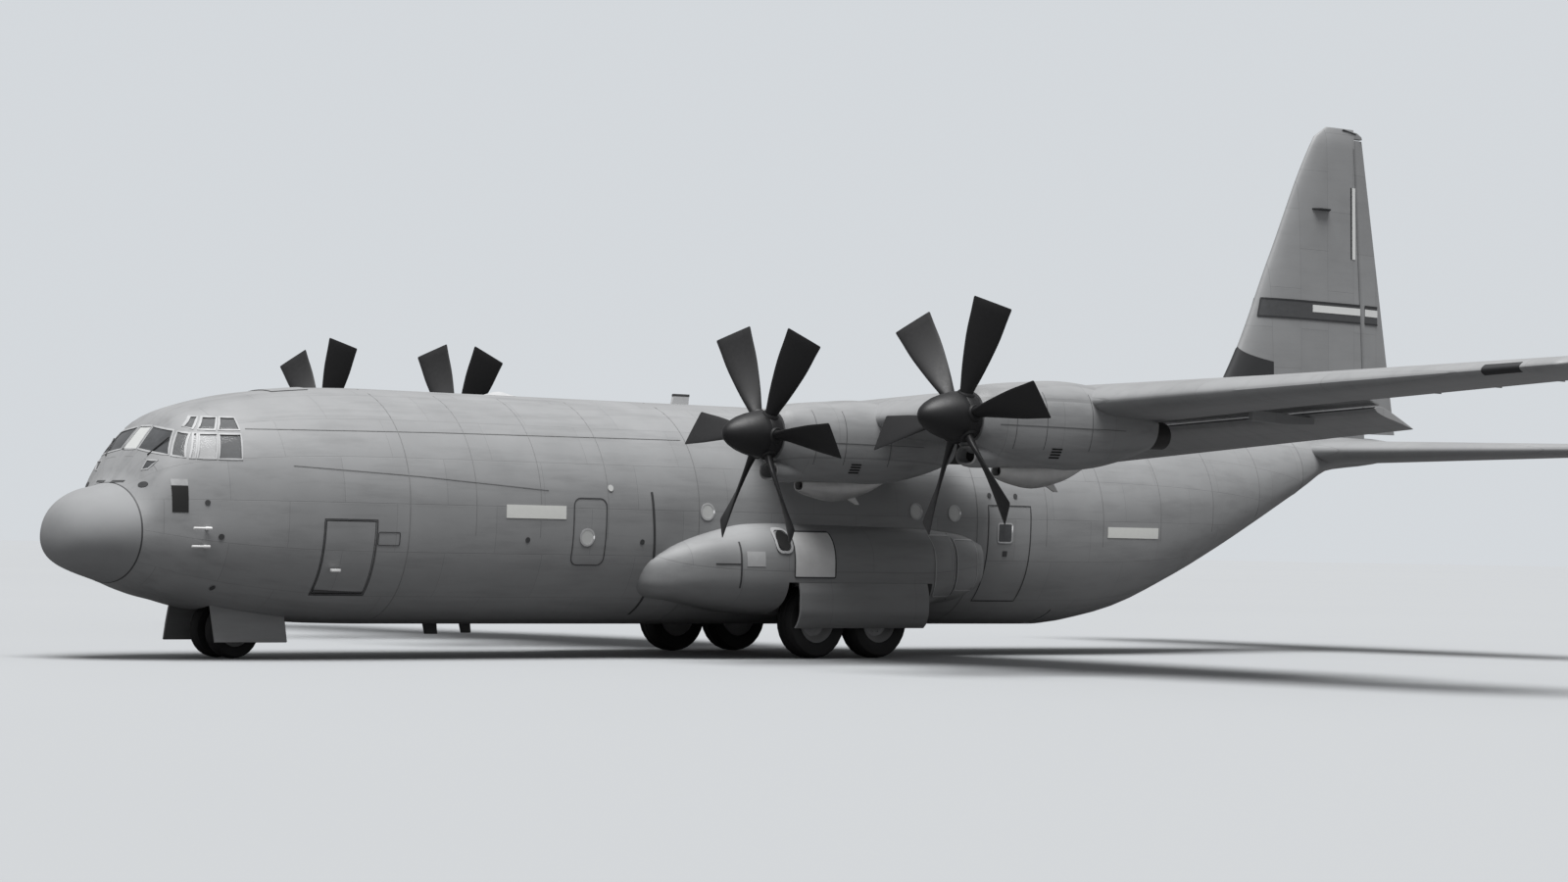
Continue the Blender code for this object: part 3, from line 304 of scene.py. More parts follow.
def tube(name, rings, closed=True, angle=40):
    """Skin rings of (x, station, z) points: a circle is drawn out, then each ring is shaped."""
    count = len(rings[0])
    piece = start(name, bpy.ops.mesh.primitive_circle_add, vertices=count, radius=1.0,
                  rotation=(math.pi / 2, 0, 0))

    def draw_out():
        for _ in rings[1:]:
            bpy.ops.mesh.extrude_region_move(TRANSFORM_OT_translate={"value": (0, 1, 0)})

    edit(piece, draw_out)
    for vertex in piece.data.vertices:
        row = round(vertex.co.y)
        place = math.floor(math.atan2(vertex.co.z, vertex.co.x) / math.tau * count + 0.3) % count
        vertex.co = at(*rings[row][place])
    steps = [lambda: bpy.ops.mesh.remove_doubles(threshold=MERGE)]
    if closed:
        steps.append(lambda: bpy.ops.mesh.fill_holes(sides=0))
    edit(piece, *steps, tidy_mesh)
    smooth(piece, angle)
    return piece


def grid(name, across, along, place, thickness=0.0, angle=40):
    """A sheet whose point at (u, v), each from 0 to 1, is where place puts it."""
    piece = start(name, bpy.ops.mesh.primitive_grid_add, x_subdivisions=across, y_subdivisions=along,
                  size=2)
    for vertex in piece.data.vertices:
        vertex.co = place((vertex.co.x + 1) / 2, (vertex.co.y + 1) / 2)
    if thickness:
        wall = piece.modifiers.new("wall", "SOLIDIFY")
        wall.thickness = thickness * SCALE
        wall.offset = 0.0
        apply_all(piece)
    edit(piece, tidy_mesh)
    smooth(piece, angle)
    return piece


def smooth(piece, angle=40):
    """Shade smooth, with edges sharper than the angle kept."""
    only(piece)
    bpy.ops.object.shade_smooth_by_angle(angle=math.radians(angle))
    return piece


def apply_all(piece):
    """Apply a piece's modifiers in order."""
    only(piece)
    for modifier in list(piece.modifiers):
        bpy.ops.object.modifier_apply(modifier=modifier.name)
    return piece


def combine(piece, operation, tools):
    """Cut, keep or join a piece with tools, which are then removed."""
    for tool in tools:
        modifier = piece.modifiers.new("shape", "BOOLEAN")
        modifier.operation = operation
        modifier.solver = "EXACT"
        modifier.object = tool
        apply_all(piece)
        bpy.data.objects.remove(tool)
    smooth(piece, SHARP)
    return piece


def cut(piece, *tools):
    return combine(piece, "DIFFERENCE", tools)


def keep(piece, *tools):
    return combine(piece, "INTERSECT", tools)


def weld(piece, *tools):
    return combine(piece, "UNION", tools)


def soften(piece, width, segments=2, angle=30):
    """Round a piece's sharp edges."""
    bevel = piece.modifiers.new("soft edges", "BEVEL")
    bevel.width = width * SCALE
    bevel.segments = segments
    bevel.limit_method = "ANGLE"
    bevel.angle_limit = math.radians(angle)
    apply_all(piece)
    return smooth(piece, SHARP)


def block(name, low, high, round_by=0.0):
    """A block between two corners, its edges rounded when round_by is given."""
    a, b = at(*low), at(*high)
    piece = start(name, bpy.ops.mesh.primitive_cube_add, size=1, location=(a + b) / 2,
                  scale=[abs(q - p) for p, q in zip(a, b)])
    return soften(piece, round_by) if round_by else piece


def prism(name, outline, low, high, place, round_by=0.0):
    """An outline of (a, b) pairs drawn out from low to high; place gives (x, station, z)."""
    piece = tube(name, [[place(a, b, level) for a, b in outline] for level in (low, high)], angle=30)
    return soften(piece, round_by) if round_by else piece


def side_view(station, z, x):
    return x, station, z


def front_view(x, z, station):
    return x, station, z


def plan_view(x, station, z):
    return x, station, z


def lathe(name, profile, centre, axis, steps=48, angle=40):
    """A profile of (radius, distance) pairs turned about an axis through centre."""
    turn = Vector(axis).to_track_quat("Z", "Y")
    rings = []
    for radius, distance in profile:
        ring = []
        for i in range(steps):
            angle_here = math.tau * i / steps
            spot = turn @ Vector((radius * math.cos(angle_here), radius * math.sin(angle_here),
                                  distance))
            ring.append(tuple(Vector(centre) + spot))
        rings.append(ring)
    return tube(name, rings, angle=angle)


def bar(name, start_at, end_at, radius, steps=20, collars=()):
    """A round bar between two points, with thicker collars at (share, share, radius)."""
    length = (Vector(end_at) - Vector(start_at)).length
    profile = [(0.0, 0.0), (radius * 0.9, 0.0), (radius, radius * 0.1)]
    for first, last, size in collars:
        profile += [(radius, length * first), (size, length * first + 0.004),
                    (size, length * last - 0.004), (radius, length * last)]
    profile += [(radius, length - radius * 0.1), (radius * 0.9, length), (0.0, length)]
    return lathe(name, profile, start_at, Vector(end_at) - Vector(start_at), steps)


def join_pieces(name, pieces):
    """Make one mesh of several."""
    only(pieces[0])
    for piece in pieces:
        piece.select_set(True)
    bpy.ops.object.join()
    joined = bpy.context.object
    joined.name = joined.data.name = name
    return joined


def mirrored(piece, name):
    """The piece's mirror image on the other side, with its own mesh."""
    twin = piece.copy()
    twin.data = piece.data.copy()
    twin.name = twin.data.name = name
    bpy.context.scene.collection.objects.link(twin)
    twin.data.transform(Matrix.Scale(-1, 4, (1, 0, 0)))
    twin.data.flip_normals()
    return twin


def dress(piece, body, finish_name, *nodes):
    """Give a piece its material, the body it rides on and the nodes it stands for."""
    piece.data.materials.clear()
    piece.data.materials.append(finishes[finish_name][0])
    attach(piece, body)
    if nodes:
        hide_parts(*nodes)
    return piece


def route_points(route, closed, step=0.12):
    """A route cut into short stretches."""
    points = []
    pairs = zip(route, route[1:] + route[:1] if closed else route[1:])
    for first, last in pairs:
        pieces = max(1, round(math.dist(first, last) / step))
        points += [tuple(a + (b - a) * i / pieces for a, b in zip(first, last)) for i in range(pieces)]
    return points if closed else points + [route[-1]]


def strip(name, route, place, width, closed=False, thickness=0.004):
    """A narrow painted or raised line along a route on a surface."""
    points = route_points(list(route), closed)
    count = len(points)
    edges = []
    for i, point in enumerate(points):
        before = points[i - 1] if closed or i else point
        after = points[(i + 1) % count] if closed or i < count - 1 else point
        along = Vector(after) - Vector(before)
        square = Vector((-along.y, along.x)).normalized() * width / 2
        edges.append((Vector(point) + square, Vector(point) - square))
    if closed:
        edges.append(edges[0])

    def spot(u, v):
        left, right = edges[round(u * (len(edges) - 1))]
        return place(*(left if v < 0.5 else right))
    return grid(name, len(edges) - 1, 1, spot, thickness)


def sheet(name, corners, place, across=8, along=8, thickness=0.004):
    """A four-cornered sheet laid on a surface."""
    a, b, c, d = (Vector(corner) for corner in corners)
    return grid(name, across, along,
                lambda u, v: place(*(a.lerp(b, u).lerp(d.lerp(c, u), v))), thickness)


def patch(name, corners, place, finish_name, body="airframe", across=6, along=6):
    """A four-cornered plate or painted patch on a surface, in its finish."""
    return dress(sheet(name, corners, place, across, along), body, finish_name)


def box_outline(first, low, last, high):
    """The four corners of a box, as (a, b) pairs."""
    return (first, low), (last, low), (last, high), (first, high)


def rounded_box(first, low, last, high, radius, steps=5):
    """The outline of a box with round corners, as (a, b) pairs."""
    points = []
    for corner, (a, b) in enumerate(((last - radius, high - radius), (first + radius, high - radius),
                                     (first + radius, low + radius), (last - radius, low + radius))):
        for i in range(steps + 1):
            turn = math.pi / 2 * (corner + i / steps)
            points.append((a + radius * math.cos(turn), b + radius * math.sin(turn)))
    return points


def circle(station, z, radius, steps=24):
    """A circle's outline as (station, z) pairs."""
    return [(station + radius * math.cos(math.tau * i / steps),
             z + radius * math.sin(math.tau * i / steps)) for i in range(steps)]


def disc(name, station, z, radius, place, finish_name, body="airframe", flat=1.0):
    """A round plate on a surface; flat squeezes its height."""
    piece = start(name, bpy.ops.mesh.primitive_circle_add, vertices=24, radius=1.0, fill_type="NGON")
    for vertex in piece.data.vertices:
        vertex.co = place(station + radius * vertex.co.x, z + radius * flat * vertex.co.y)
    wall = piece.modifiers.new("wall", "SOLIDIFY")
    wall.thickness = 0.006 * SCALE
    wall.offset = 0.0
    edit(apply_all(piece), tidy_mesh)
    return dress(smooth(piece, SHARP), body, finish_name)


def outline(name, points, place, width=0.022, finish_name="line", body="airframe"):
    """A closed thin line round a panel."""
    return dress(strip(name, points, place, width, closed=True), body, finish_name)


def line(name, points, place, width=0.02, finish_name="line", body="airframe"):
    """An open thin line."""
    return dress(strip(name, points, place, width), body, finish_name)


def dress_both(piece, body, finish_name, *nodes):
    """Dress a port piece and its mirror image alike."""
    dress(piece, body, finish_name, *nodes)
    names = [name.replace("port", "starboard") for name in (piece.name, body, *nodes)]
    return dress(mirrored(piece, names[0]), names[1], finish_name, *names[2:])


def new_group(name, inputs, outputs):
    """An empty shader node group with named sockets."""
    group = bpy.data.node_groups.new(name, "ShaderNodeTree")
    for label, kind, value in inputs:
        socket = group.interface.new_socket(label, in_out="INPUT", socket_type=kind)
        if value is not None:
            socket.default_value = value
    for label, kind in outputs:
        group.interface.new_socket(label, in_out="OUTPUT", socket_type=kind)
    return group, group.nodes.new("NodeGroupInput"), group.nodes.new("NodeGroupOutput")


def node(tree, kind, links=(), **settings):
    """Add a node; settings name its properties, links its inputs."""
    item = tree.nodes.new(kind)
    for key, value in settings.items():
        setattr(item, key, value)
    for key, value in dict(links).items():
        if isinstance(value, bpy.types.NodeSocket):
            tree.links.new(value, item.inputs[key])
        else:
            item.inputs[key].default_value = value
    return item


def maths(tree, operation, *values):
    """One Math node's result."""
    return node(tree, "ShaderNodeMath", dict(enumerate(values)), operation=operation).outputs[0]


def mix_colours(tree, share, first, second):
    """A colour mix."""
    item = tree.nodes.new("ShaderNodeMix")
    item.data_type = "RGBA"
    for index, value in ((0, share), (6, first), (7, second)):
        if isinstance(value, bpy.types.NodeSocket):
            tree.links.new(value, item.inputs[index])
        else:
            item.inputs[index].default_value = value
    return item.outputs[2]


def weather_group():
    """Grime streaks that run back along the plane, and soft blotches in the paint."""
    group, source, sink = new_group("weathering",
                                    [("Position", "NodeSocketVector", None),
                                     ("Streaks", "NodeSocketFloat", 1.0)],
                                    [("Grime", "NodeSocketFloat"), ("Blotch", "NodeSocketFloat")])
    stretched = node(group, "ShaderNodeMapping", {"Vector": source.outputs["Position"],
                                                  "Scale": (6.0, 0.7, 6.0)})
    streaks = node(group, "ShaderNodeTexNoise", {"Vector": stretched.outputs[0], "Scale": 1.6,
                                                 "Detail": 6.0, "Roughness": 0.62})
    sharp = node(group, "ShaderNodeMapRange", {"Value": streaks.outputs[0], "From Min": 0.48,
                                               "From Max": 0.78})
    blotches = node(group, "ShaderNodeTexNoise", {"Vector": source.outputs["Position"], "Scale": 2.2,
                                                  "Detail": 5.0, "Roughness": 0.55})
    group.links.new(maths(group, "MULTIPLY", sharp.outputs[0], source.outputs["Streaks"]),
                    sink.inputs["Grime"])
    group.links.new(blotches.outputs[0], sink.inputs["Blotch"])
    return group


def panel_group():
    """Panel seams with their rows of rivets, and a tone of its own for each panel."""
    group, source, sink = new_group("panels",
                                    [("Along", "NodeSocketFloat", 0.0),
                                     ("Across", "NodeSocketFloat", 0.0),
                                     ("Width", "NodeSocketFloat", 1.0),
                                     ("Height", "NodeSocketFloat", 0.5)],
                                    [("Seam", "NodeSocketFloat"), ("Rivets", "NodeSocketFloat"),
                                     ("Tone", "NodeSocketFloat")])
    spot = node(group, "ShaderNodeCombineXYZ", {"X": source.outputs["Along"],
                                                "Y": source.outputs["Across"]})
    bricks = node(group, "ShaderNodeTexBrick",
                  {"Vector": spot.outputs[0], "Color1": (0, 0, 0, 1), "Color2": (1, 1, 1, 1),
                   "Mortar": (0.5, 0.5, 0.5, 1), "Scale": 1.0, "Mortar Size": 0.0035,
                   "Mortar Smooth": 0.3, "Brick Width": source.outputs["Width"],
                   "Row Height": source.outputs["Height"]})
    wide = node(group, "ShaderNodeTexBrick",
                {"Vector": spot.outputs[0], "Scale": 1.0, "Mortar Size": 0.016, "Mortar Smooth": 0.0,
                 "Brick Width": source.outputs["Width"], "Row Height": source.outputs["Height"]})
    dots = node(group, "ShaderNodeTexVoronoi", {"Vector": spot.outputs[0], "Scale": 55.0,
                                                "Randomness": 0.0})
    heads = maths(group, "LESS_THAN", dots.outputs["Distance"], 0.22)
    rows = maths(group, "MULTIPLY", heads, wide.outputs["Fac"])
    group.links.new(bricks.outputs["Fac"], sink.inputs["Seam"])
    group.links.new(rows, sink.inputs["Rivets"])
    group.links.new(bricks.outputs["Color"], sink.inputs["Tone"])
    return group


def empty_material(name):
    """A material with its Principled shader and object coordinates."""
    material = bpy.data.materials.new(name)
    material.use_nodes = True
    tree = material.node_tree
    place = tree.nodes.new("ShaderNodeTexCoord").outputs["Object"]
    return material, tree, tree.nodes["Principled BSDF"], place


def airframe_paint(name, colour, lay="hull", streaks=1.0, roughness=0.5, panel=(1.05, 0.42)):
    """Matt grey paint over riveted panels; lay says which way the panels run."""
    material, tree, shader, place = empty_material(name)
    parts = node(tree, "ShaderNodeSeparateXYZ", {0: place}).outputs
    if lay == "hull":
        height = maths(tree, "SUBTRACT", parts["Z"], 1.36)
        turn = maths(tree, "ARCTAN2", parts["X"], height)
        along, across = parts["Y"], maths(tree, "MULTIPLY", turn, 1.08)
    elif lay == "wing":
        along, across = parts["X"], parts["Y"]
    else:
        along, across = parts["Z"], parts["Y"]
    panels = node(tree, "ShaderNodeGroup", node_tree=shared["panels"])
    tree.links.new(along, panels.inputs["Along"])
    tree.links.new(across, panels.inputs["Across"])
    panels.inputs["Width"].default_value = panel[0]
    panels.inputs["Height"].default_value = panel[1]
    weather = node(tree, "ShaderNodeGroup", node_tree=shared["weathering"])
    tree.links.new(place, weather.inputs["Position"])
    weather.inputs["Streaks"].default_value = streaks
    dark = tuple(value * 0.70 for value in colour) + (1,)
    light = tuple(min(value * 1.10, 1.0) for value in colour) + (1,)
    tone = maths(tree, "MULTIPLY_ADD", panels.outputs["Tone"], 0.14, 0.42)
    shade = maths(tree, "MULTIPLY_ADD", weather.outputs["Blotch"], 0.5,
                  maths(tree, "SUBTRACT", tone, 0.25))
    base = mix_colours(tree, shade, dark, light)
    grime = maths(tree, "MULTIPLY", weather.outputs["Grime"], 0.34)
    dirty = mix_colours(tree, grime, base, tuple(value * 0.38 for value in colour) + (1,))
    seam = maths(tree, "MULTIPLY", panels.outputs["Seam"], 0.26)
    lined = mix_colours(tree, seam, dirty, tuple(value * 0.25 for value in colour) + (1,))
    tree.links.new(lined, shader.inputs["Base Color"])
    rough = maths(tree, "MULTIPLY_ADD", weather.outputs["Blotch"], 0.2, roughness - 0.1)
    tree.links.new(rough, shader.inputs["Roughness"])
    relief = maths(tree, "SUBTRACT", maths(tree, "MULTIPLY", panels.outputs["Rivets"], 0.5),
                   panels.outputs["Seam"])
    bump = node(tree, "ShaderNodeBump", {"Strength": 0.35, "Distance": 0.002, "Height": relief})
    tree.links.new(bump.outputs[0], shader.inputs["Normal"])
    return material


def plain_finish(name, colour, roughness, metallic=0.0, variation=0.25, grain=18.0, bump=0.0):
    """One paint, metal or rubber with small changes of tone and roughness."""
    material, tree, shader, place = empty_material(name)
    noise = node(tree, "ShaderNodeTexNoise", {"Vector": place, "Scale": grain, "Detail": 5.0,
                                              "Roughness": 0.6})
    low = tuple(value * (1 - variation) for value in colour) + (1,)
    high = tuple(min(value * (1 + variation), 1.0) for value in colour) + (1,)
    tree.links.new(mix_colours(tree, noise.outputs[0], low, high), shader.inputs["Base Color"])
    rough = maths(tree, "MULTIPLY_ADD", noise.outputs[0], 0.2, roughness - 0.1)
    tree.links.new(rough, shader.inputs["Roughness"])
    shader.inputs["Metallic"].default_value = metallic
    if bump:
        relief = node(tree, "ShaderNodeBump", {"Strength": bump, "Distance": 0.002,
                                               "Height": noise.outputs[0]})
        tree.links.new(relief.outputs[0], shader.inputs["Normal"])
    return material


def clear_glass(name, colour, roughness, weight):
    """Glass that lets the flight deck show through."""
    material, tree, shader, place = empty_material(name)
    noise = node(tree, "ShaderNodeTexNoise", {"Vector": place, "Scale": 9.0, "Detail": 3.0})
    dark = tuple(value * 0.8 for value in colour) + (1,)
    tree.links.new(mix_colours(tree, noise.outputs[0], dark, (*colour, 1)), shader.inputs["Base Color"])
    shader.inputs["Roughness"].default_value = roughness
    shader.inputs["Transmission Weight"].default_value = weight
    shader.inputs["IOR"].default_value = 1.15
    return material


shared = {"weathering": weather_group(), "panels": panel_group()}
GREY = (0.335, 0.34, 0.345)
finishes = {
    "hull": (airframe_paint("hull_grey", GREY), "airframe_grey"),
    "wing": (airframe_paint("wing_grey", GREY, "wing", 0.6, panel=(1.3, 0.30)), "airframe_grey"),
    # The flaps' grey is a lighter copy of the airframe grey: painted light on the flaps, with the usual
    # grime streaks.
    "flap": (airframe_paint("flap_grey_worn", (0.43, 0.435, 0.44), "wing", 0.9, panel=(1.0, 0.25)),
             "flap_grey"),
    "nacelle": (airframe_paint("nacelle_grey_sooty", GREY, "hull", 1.5, panel=(0.62, 0.30)),
                "nacelle_grey"),
    "tail": (airframe_paint("tail_grey_clean", GREY, "fin", 0.4, panel=(0.9, 0.45)), "tail_grey"),
    "radome": (plain_finish("radome_rubber_paint", (0.27, 0.275, 0.28), 0.80, variation=0.10,
                            grain=5.0),
               "airframe_grey"),
    "blade": (plain_finish("blade_black_matt", (0.012, 0.012, 0.013), 0.55, variation=0.4, grain=30.0),
              "blade_black"),
    "spinner": (plain_finish("spinner_black", (0.009, 0.009, 0.010), 0.50, variation=0.3),
                "blade_black"),
    "line": (plain_finish("outline_dark", (0.055, 0.056, 0.058), 0.6), "airframe_grey"),
    "soft_line": (plain_finish("seam_soft", (0.235, 0.238, 0.24), 0.6), "airframe_grey"),
    "tail_seam": (plain_finish("tail_seam_soft", (0.15, 0.152, 0.155), 0.6), "tail_grey"),
    "nacelle_seam": (plain_finish("cowl_seam_soft", (0.13, 0.132, 0.135), 0.6), "nacelle_grey"),
    "window_frame": (plain_finish("window_frame_grey", (0.42, 0.425, 0.43), 0.45), "airframe_grey"),
    "boot_dark": (plain_finish("wiper_black", (0.02, 0.02, 0.021), 0.55), "airframe_grey"),
    "seat_frame": (plain_finish("seat_frame_grey", (0.20, 0.205, 0.21), 0.45, 0.3), "seat_cloth"),
    "dial": (plain_finish("dial_rim_grey", (0.24, 0.245, 0.25), 0.35, 0.2), "panel_black"),
    "gear_floor": (plain_finish("track_bare", (0.50, 0.505, 0.51), 0.38, 0.7, 0.2), "floor_metal"),
    # Opaque, mottled dark glass: painted shade and dark reflections on the front, chin and jump door
    # windows.
    "dark_glass": (plain_finish("window_dark", (0.075, 0.078, 0.082), 0.12, variation=0.6, grain=9.0),
                   "cockpit_glass"),
    "boot": (plain_finish("boot_rubber", (0.03, 0.031, 0.033), 0.7), "tail_grey"),
    "wing_boot": (plain_finish("wing_boot_rubber", (0.03, 0.031, 0.033), 0.7), "airframe_grey"),
    "light_strip": (plain_finish("night_strip", (0.80, 0.81, 0.78), 0.5, variation=0.05),
                    "airframe_grey"),
    "tail_light_strip": (plain_finish("tail_strip", (0.80, 0.81, 0.80), 0.5, variation=0.05),
                         "tail_grey"),
    "tail_band": (plain_finish("tail_band_dark", (0.075, 0.077, 0.08), 0.5), "tail_grey"),
    "pale": (plain_finish("pale_panel", (0.50, 0.505, 0.51), 0.45, variation=0.12), "airframe_grey"),
    "bright": (plain_finish("bare_panel", (0.86, 0.86, 0.85), 0.45, 0.1, 0.18, 7.0), "airframe_grey"),
    "scoop": (plain_finish("scoop_metal", (0.55, 0.55, 0.545), 0.40, 0.55, 0.2, 9.0), "nacelle_grey"),
    "soot": (plain_finish("pipe_burnt", (0.03, 0.029, 0.028), 0.6, 0.3, 0.4, 12.0), "nacelle_grey"),
    # Black for the intakes' throats and the louvre slots: painted shade where the ducts behind them lie
    # in shadow.
    "shade_painted_duct": (plain_finish("duct_painted_shade", (0.010, 0.010, 0.010), 0.8), "nacelle_grey"),
    # Black for the nose vents and the fairings' scoop holes: painted shade for their shaded insides.
    "shade_painted_hole": (plain_finish("opening_painted_shade", (0.012, 0.012, 0.012), 0.8), "airframe_grey"),
    "liner": (plain_finish("liner_pale", (0.42, 0.43, 0.41), 0.55, variation=0.15), "airframe_grey"),
    "gear": (plain_finish("gear_white", (0.56, 0.565, 0.57), 0.36, 0.25, 0.12), "gear_metal"),
    "chrome": (plain_finish("piston_chrome", (0.72, 0.72, 0.73), 0.16, 1.0, 0.05), "gear_metal"),
    "tyre": (plain_finish("tyre_black", (0.022, 0.022, 0.023), 0.82, variation=0.35, grain=40.0,
                          bump=0.3),
             "tyre_rubber"),
    "rim": (plain_finish("rim_grey", (0.45, 0.455, 0.46), 0.38, 0.4, 0.12), "tyre_rubber"),
    "floor": (plain_finish("floor_worn", (0.34, 0.345, 0.35), 0.45, 0.6, 0.35, 6.0, 0.1),
              "floor_metal"),
    "panel": (plain_finish("panel_dark", (0.045, 0.046, 0.05), 0.6), "panel_black"),
    "cloth": (plain_finish("seat_grey", (0.11, 0.115, 0.12), 0.9, variation=0.3, grain=60.0, bump=0.3),
              "seat_cloth"),
    "glass": (clear_glass("window_glass", (0.27, 0.275, 0.28), 0.06, 0.45), "cockpit_glass"),
    # Pale glass that lets little through: a painted pale reflection on the narrow and forward side
    # panes.
    "pale_glass": (clear_glass("window_glass_pale", (0.60, 0.605, 0.61), 0.06, 0.25), "cockpit_glass"),
    # Opaque bright glass: a painted glint of the sky on the centre pane, the round windows, the ice
    # light and the beacon.
    "bright_glass": (plain_finish("window_bright", (0.62, 0.63, 0.62), 0.10, variation=0.05),
                     "cockpit_glass"),
}


def hull_stations(first, last):
    """Stations close together near the nose tip and wider apart aft of it."""
    low, high = nose_reach(first), nose_reach(last)
    count = max(2, math.ceil((high - low) / 0.045))
    return [NOSE_TIP + (low + (high - low) * i / count) ** 2 for i in range(count + 1)]


def hull_tube(name, first, last, closed=True, inset=0.0):
    """A smooth length of the fuselage."""
    return tube(name, [hull_ring(s, inset) for s in hull_stations(first, last)], closed)


def hull_shell(name, first, last, thickness=SKIN):
    """A thin-walled length of the fuselage."""
    piece = hull_tube(name, first, last, closed=False)
    wall = piece.modifiers.new("wall", "SOLIDIFY")
    wall.thickness = thickness * SCALE
    wall.offset = -1.0
    return smooth(apply_all(piece), SHARP)


def boxed_well(name, first, last, inner, outer, floor, roof):
    """A gear well's liner: a box open below."""
    piece = block(name, (inner, first, floor), (outer, last, roof))
    only(piece)
    bpy.ops.object.mode_set(mode="EDIT")
    bpy.ops.mesh.select_mode(type="FACE")
    bpy.ops.object.mode_set(mode="OBJECT")
    for face in piece.data.polygons:
        face.select = face.normal.z < -0.5
    bpy.ops.object.mode_set(mode="EDIT")
    bpy.ops.mesh.delete(type="FACE")
    bpy.ops.mesh.select_mode(type="VERT")
    bpy.ops.object.mode_set(mode="OBJECT")
    wall = piece.modifiers.new("wall", "SOLIDIFY")
    wall.thickness = 0.03 * SCALE
    wall.offset = 1.0
    return apply_all(piece)


# Cockpit windows of the port side, seen from the side (station, z) and from ahead (x, z)
SIDE_PANES = {
    "narrow": ((1.88, 3.45), (1.955, 3.45), (2.11, 3.88), (2.05, 3.88)),
    "side_front": ((1.99, 3.45), (2.30, 3.45), (2.43, 3.885), (2.14, 3.88)),
    "side_rear": ((2.34, 3.445), (2.74, 3.45), (2.83, 3.885), (2.46, 3.88)),
    "brow_front": ((1.985, 4.00), (2.08, 3.96), (2.29, 4.18), (2.19, 4.185)),
    "brow_middle": ((2.15, 3.95), (2.42, 3.95), (2.57, 4.175), (2.35, 4.18)),
    "brow_rear": ((2.48, 3.95), (2.84, 3.96), (2.86, 4.18), (2.62, 4.18)),
}
FRONT_PANES = {
    "front": ((0.30, 3.61), (1.18, 3.50), (0.92, 3.93), (0.26, 4.01)),
    "corner": ((1.23, 3.49), (1.42, 3.46), (1.22, 3.88), (1.01, 3.91)),
    "chin": ((0.79, 3.24), (0.94, 3.26), (1.06, 3.40), (0.80, 3.41)),
}
CENTRE_PANE = ((-0.24, 3.61), (0.24, 3.61), (0.20, 4.02), (-0.20, 4.02))


def pane(name, corners, place_at):
    """One window's glass, a little inside the skin, and its raised frame."""
    glass = sheet(f"{name}_glass", corners, place_at(-0.018), 8, 8, 0.012)
    rim = strip(f"{name}_rim", corners, place_at(0.004), 0.028, closed=True, thickness=0.012)
    return glass, rim


def build_windows():
    """Every cockpit pane with its frame; the cutters for their openings are returned."""
    cutters, rims = [], []
    # The panes' glasses paint what they show: a glint on the centre pane, pale reflections on the narrow
    # and forward side panes, shade on the front and chin panes.
    panes = {"window_panes": [], "glint_painted_panes": [], "shade_painted_panes": [], "reflection_painted_panes": []}
    kinds = {"narrow": "reflection_painted_panes", "side_front": "reflection_painted_panes", "chin": "shade_painted_panes",
             "front": "shade_painted_panes"}
    for side, label in SIDES:
        for kind, corners in SIDE_PANES.items():
            glass, rim = pane(f"{kind}_{label}", corners, lambda lift, side=side: on_side(side, lift))
            panes[kinds.get(kind, "window_panes")].append(glass)
            rims.append(rim)
            cutters.append(prism(f"{kind}_cut", corners, side * 0.3, side * 2.4, side_view))
        for kind, corners in FRONT_PANES.items():
            corners = tuple((side * x, z) for x, z in corners)
            glass, rim = pane(f"{kind}_{label}", corners, on_front)
            panes[kinds.get(kind, "window_panes")].append(glass)
            rims.append(rim)
            cutters.append(prism(f"{kind}_cut", corners, 1.0, 2.3, front_view))
    glass, rim = pane("centre", CENTRE_PANE, on_front)
    panes["glint_painted_panes"].append(glass)
    cutters.append(prism("centre_cut", CENTRE_PANE, 1.1, 2.3, front_view))
    dress(join_pieces("window_frames", rims + [rim]), "airframe", "window_frame")
    dress(join_pieces("window_panes", panes["window_panes"]), "airframe", "glass", "cockpit_glazing")
    dress(join_pieces("glint_painted_panes", panes["glint_painted_panes"]), "airframe", "bright_glass")
    dress(join_pieces("shade_painted_panes", panes["shade_painted_panes"]), "airframe", "dark_glass")
    dress(join_pieces("reflection_painted_panes", panes["reflection_painted_panes"]), "airframe", "pale_glass")
    return cutters


def build_cushion(name, low, high, lean=0.0):
    """A crowned cushion between two corners, its sides drawn in; lean pushes its top aft."""
    middle = [(a + b) / 2 for a, b in zip(low, high)]
    half = [(b - a) / 2 for a, b in zip(low, high)]
    piece = start(name, bpy.ops.mesh.primitive_cube_add, size=2)
    edit(piece, lambda: bpy.ops.mesh.subdivide(number_cuts=7))
    flat = half.index(min(half))
    wide = [axis for axis in range(3) if axis != flat]
    for vertex in piece.data.vertices:
        spot = list(vertex.co)
        a, b = (spot[axis] for axis in wide)
        crown = (1 - a ** 4) * (1 - b ** 4)
        spot[flat] *= 0.45 + 0.55 * crown
        spot[wide[0]] *= 0.97 - 0.05 * (1 - b * b)
        spot[wide[1]] *= 0.97 - 0.05 * (1 - a * a)
        x, station, z = (m + h * value for m, h, value in zip(middle, half, spot))
        vertex.co = at(x, station + lean * (z - low[2]), z)
    edit(piece, tidy_mesh)
    smooth(piece, 80)
    dress(piece, "airframe", "cloth")
    return piece


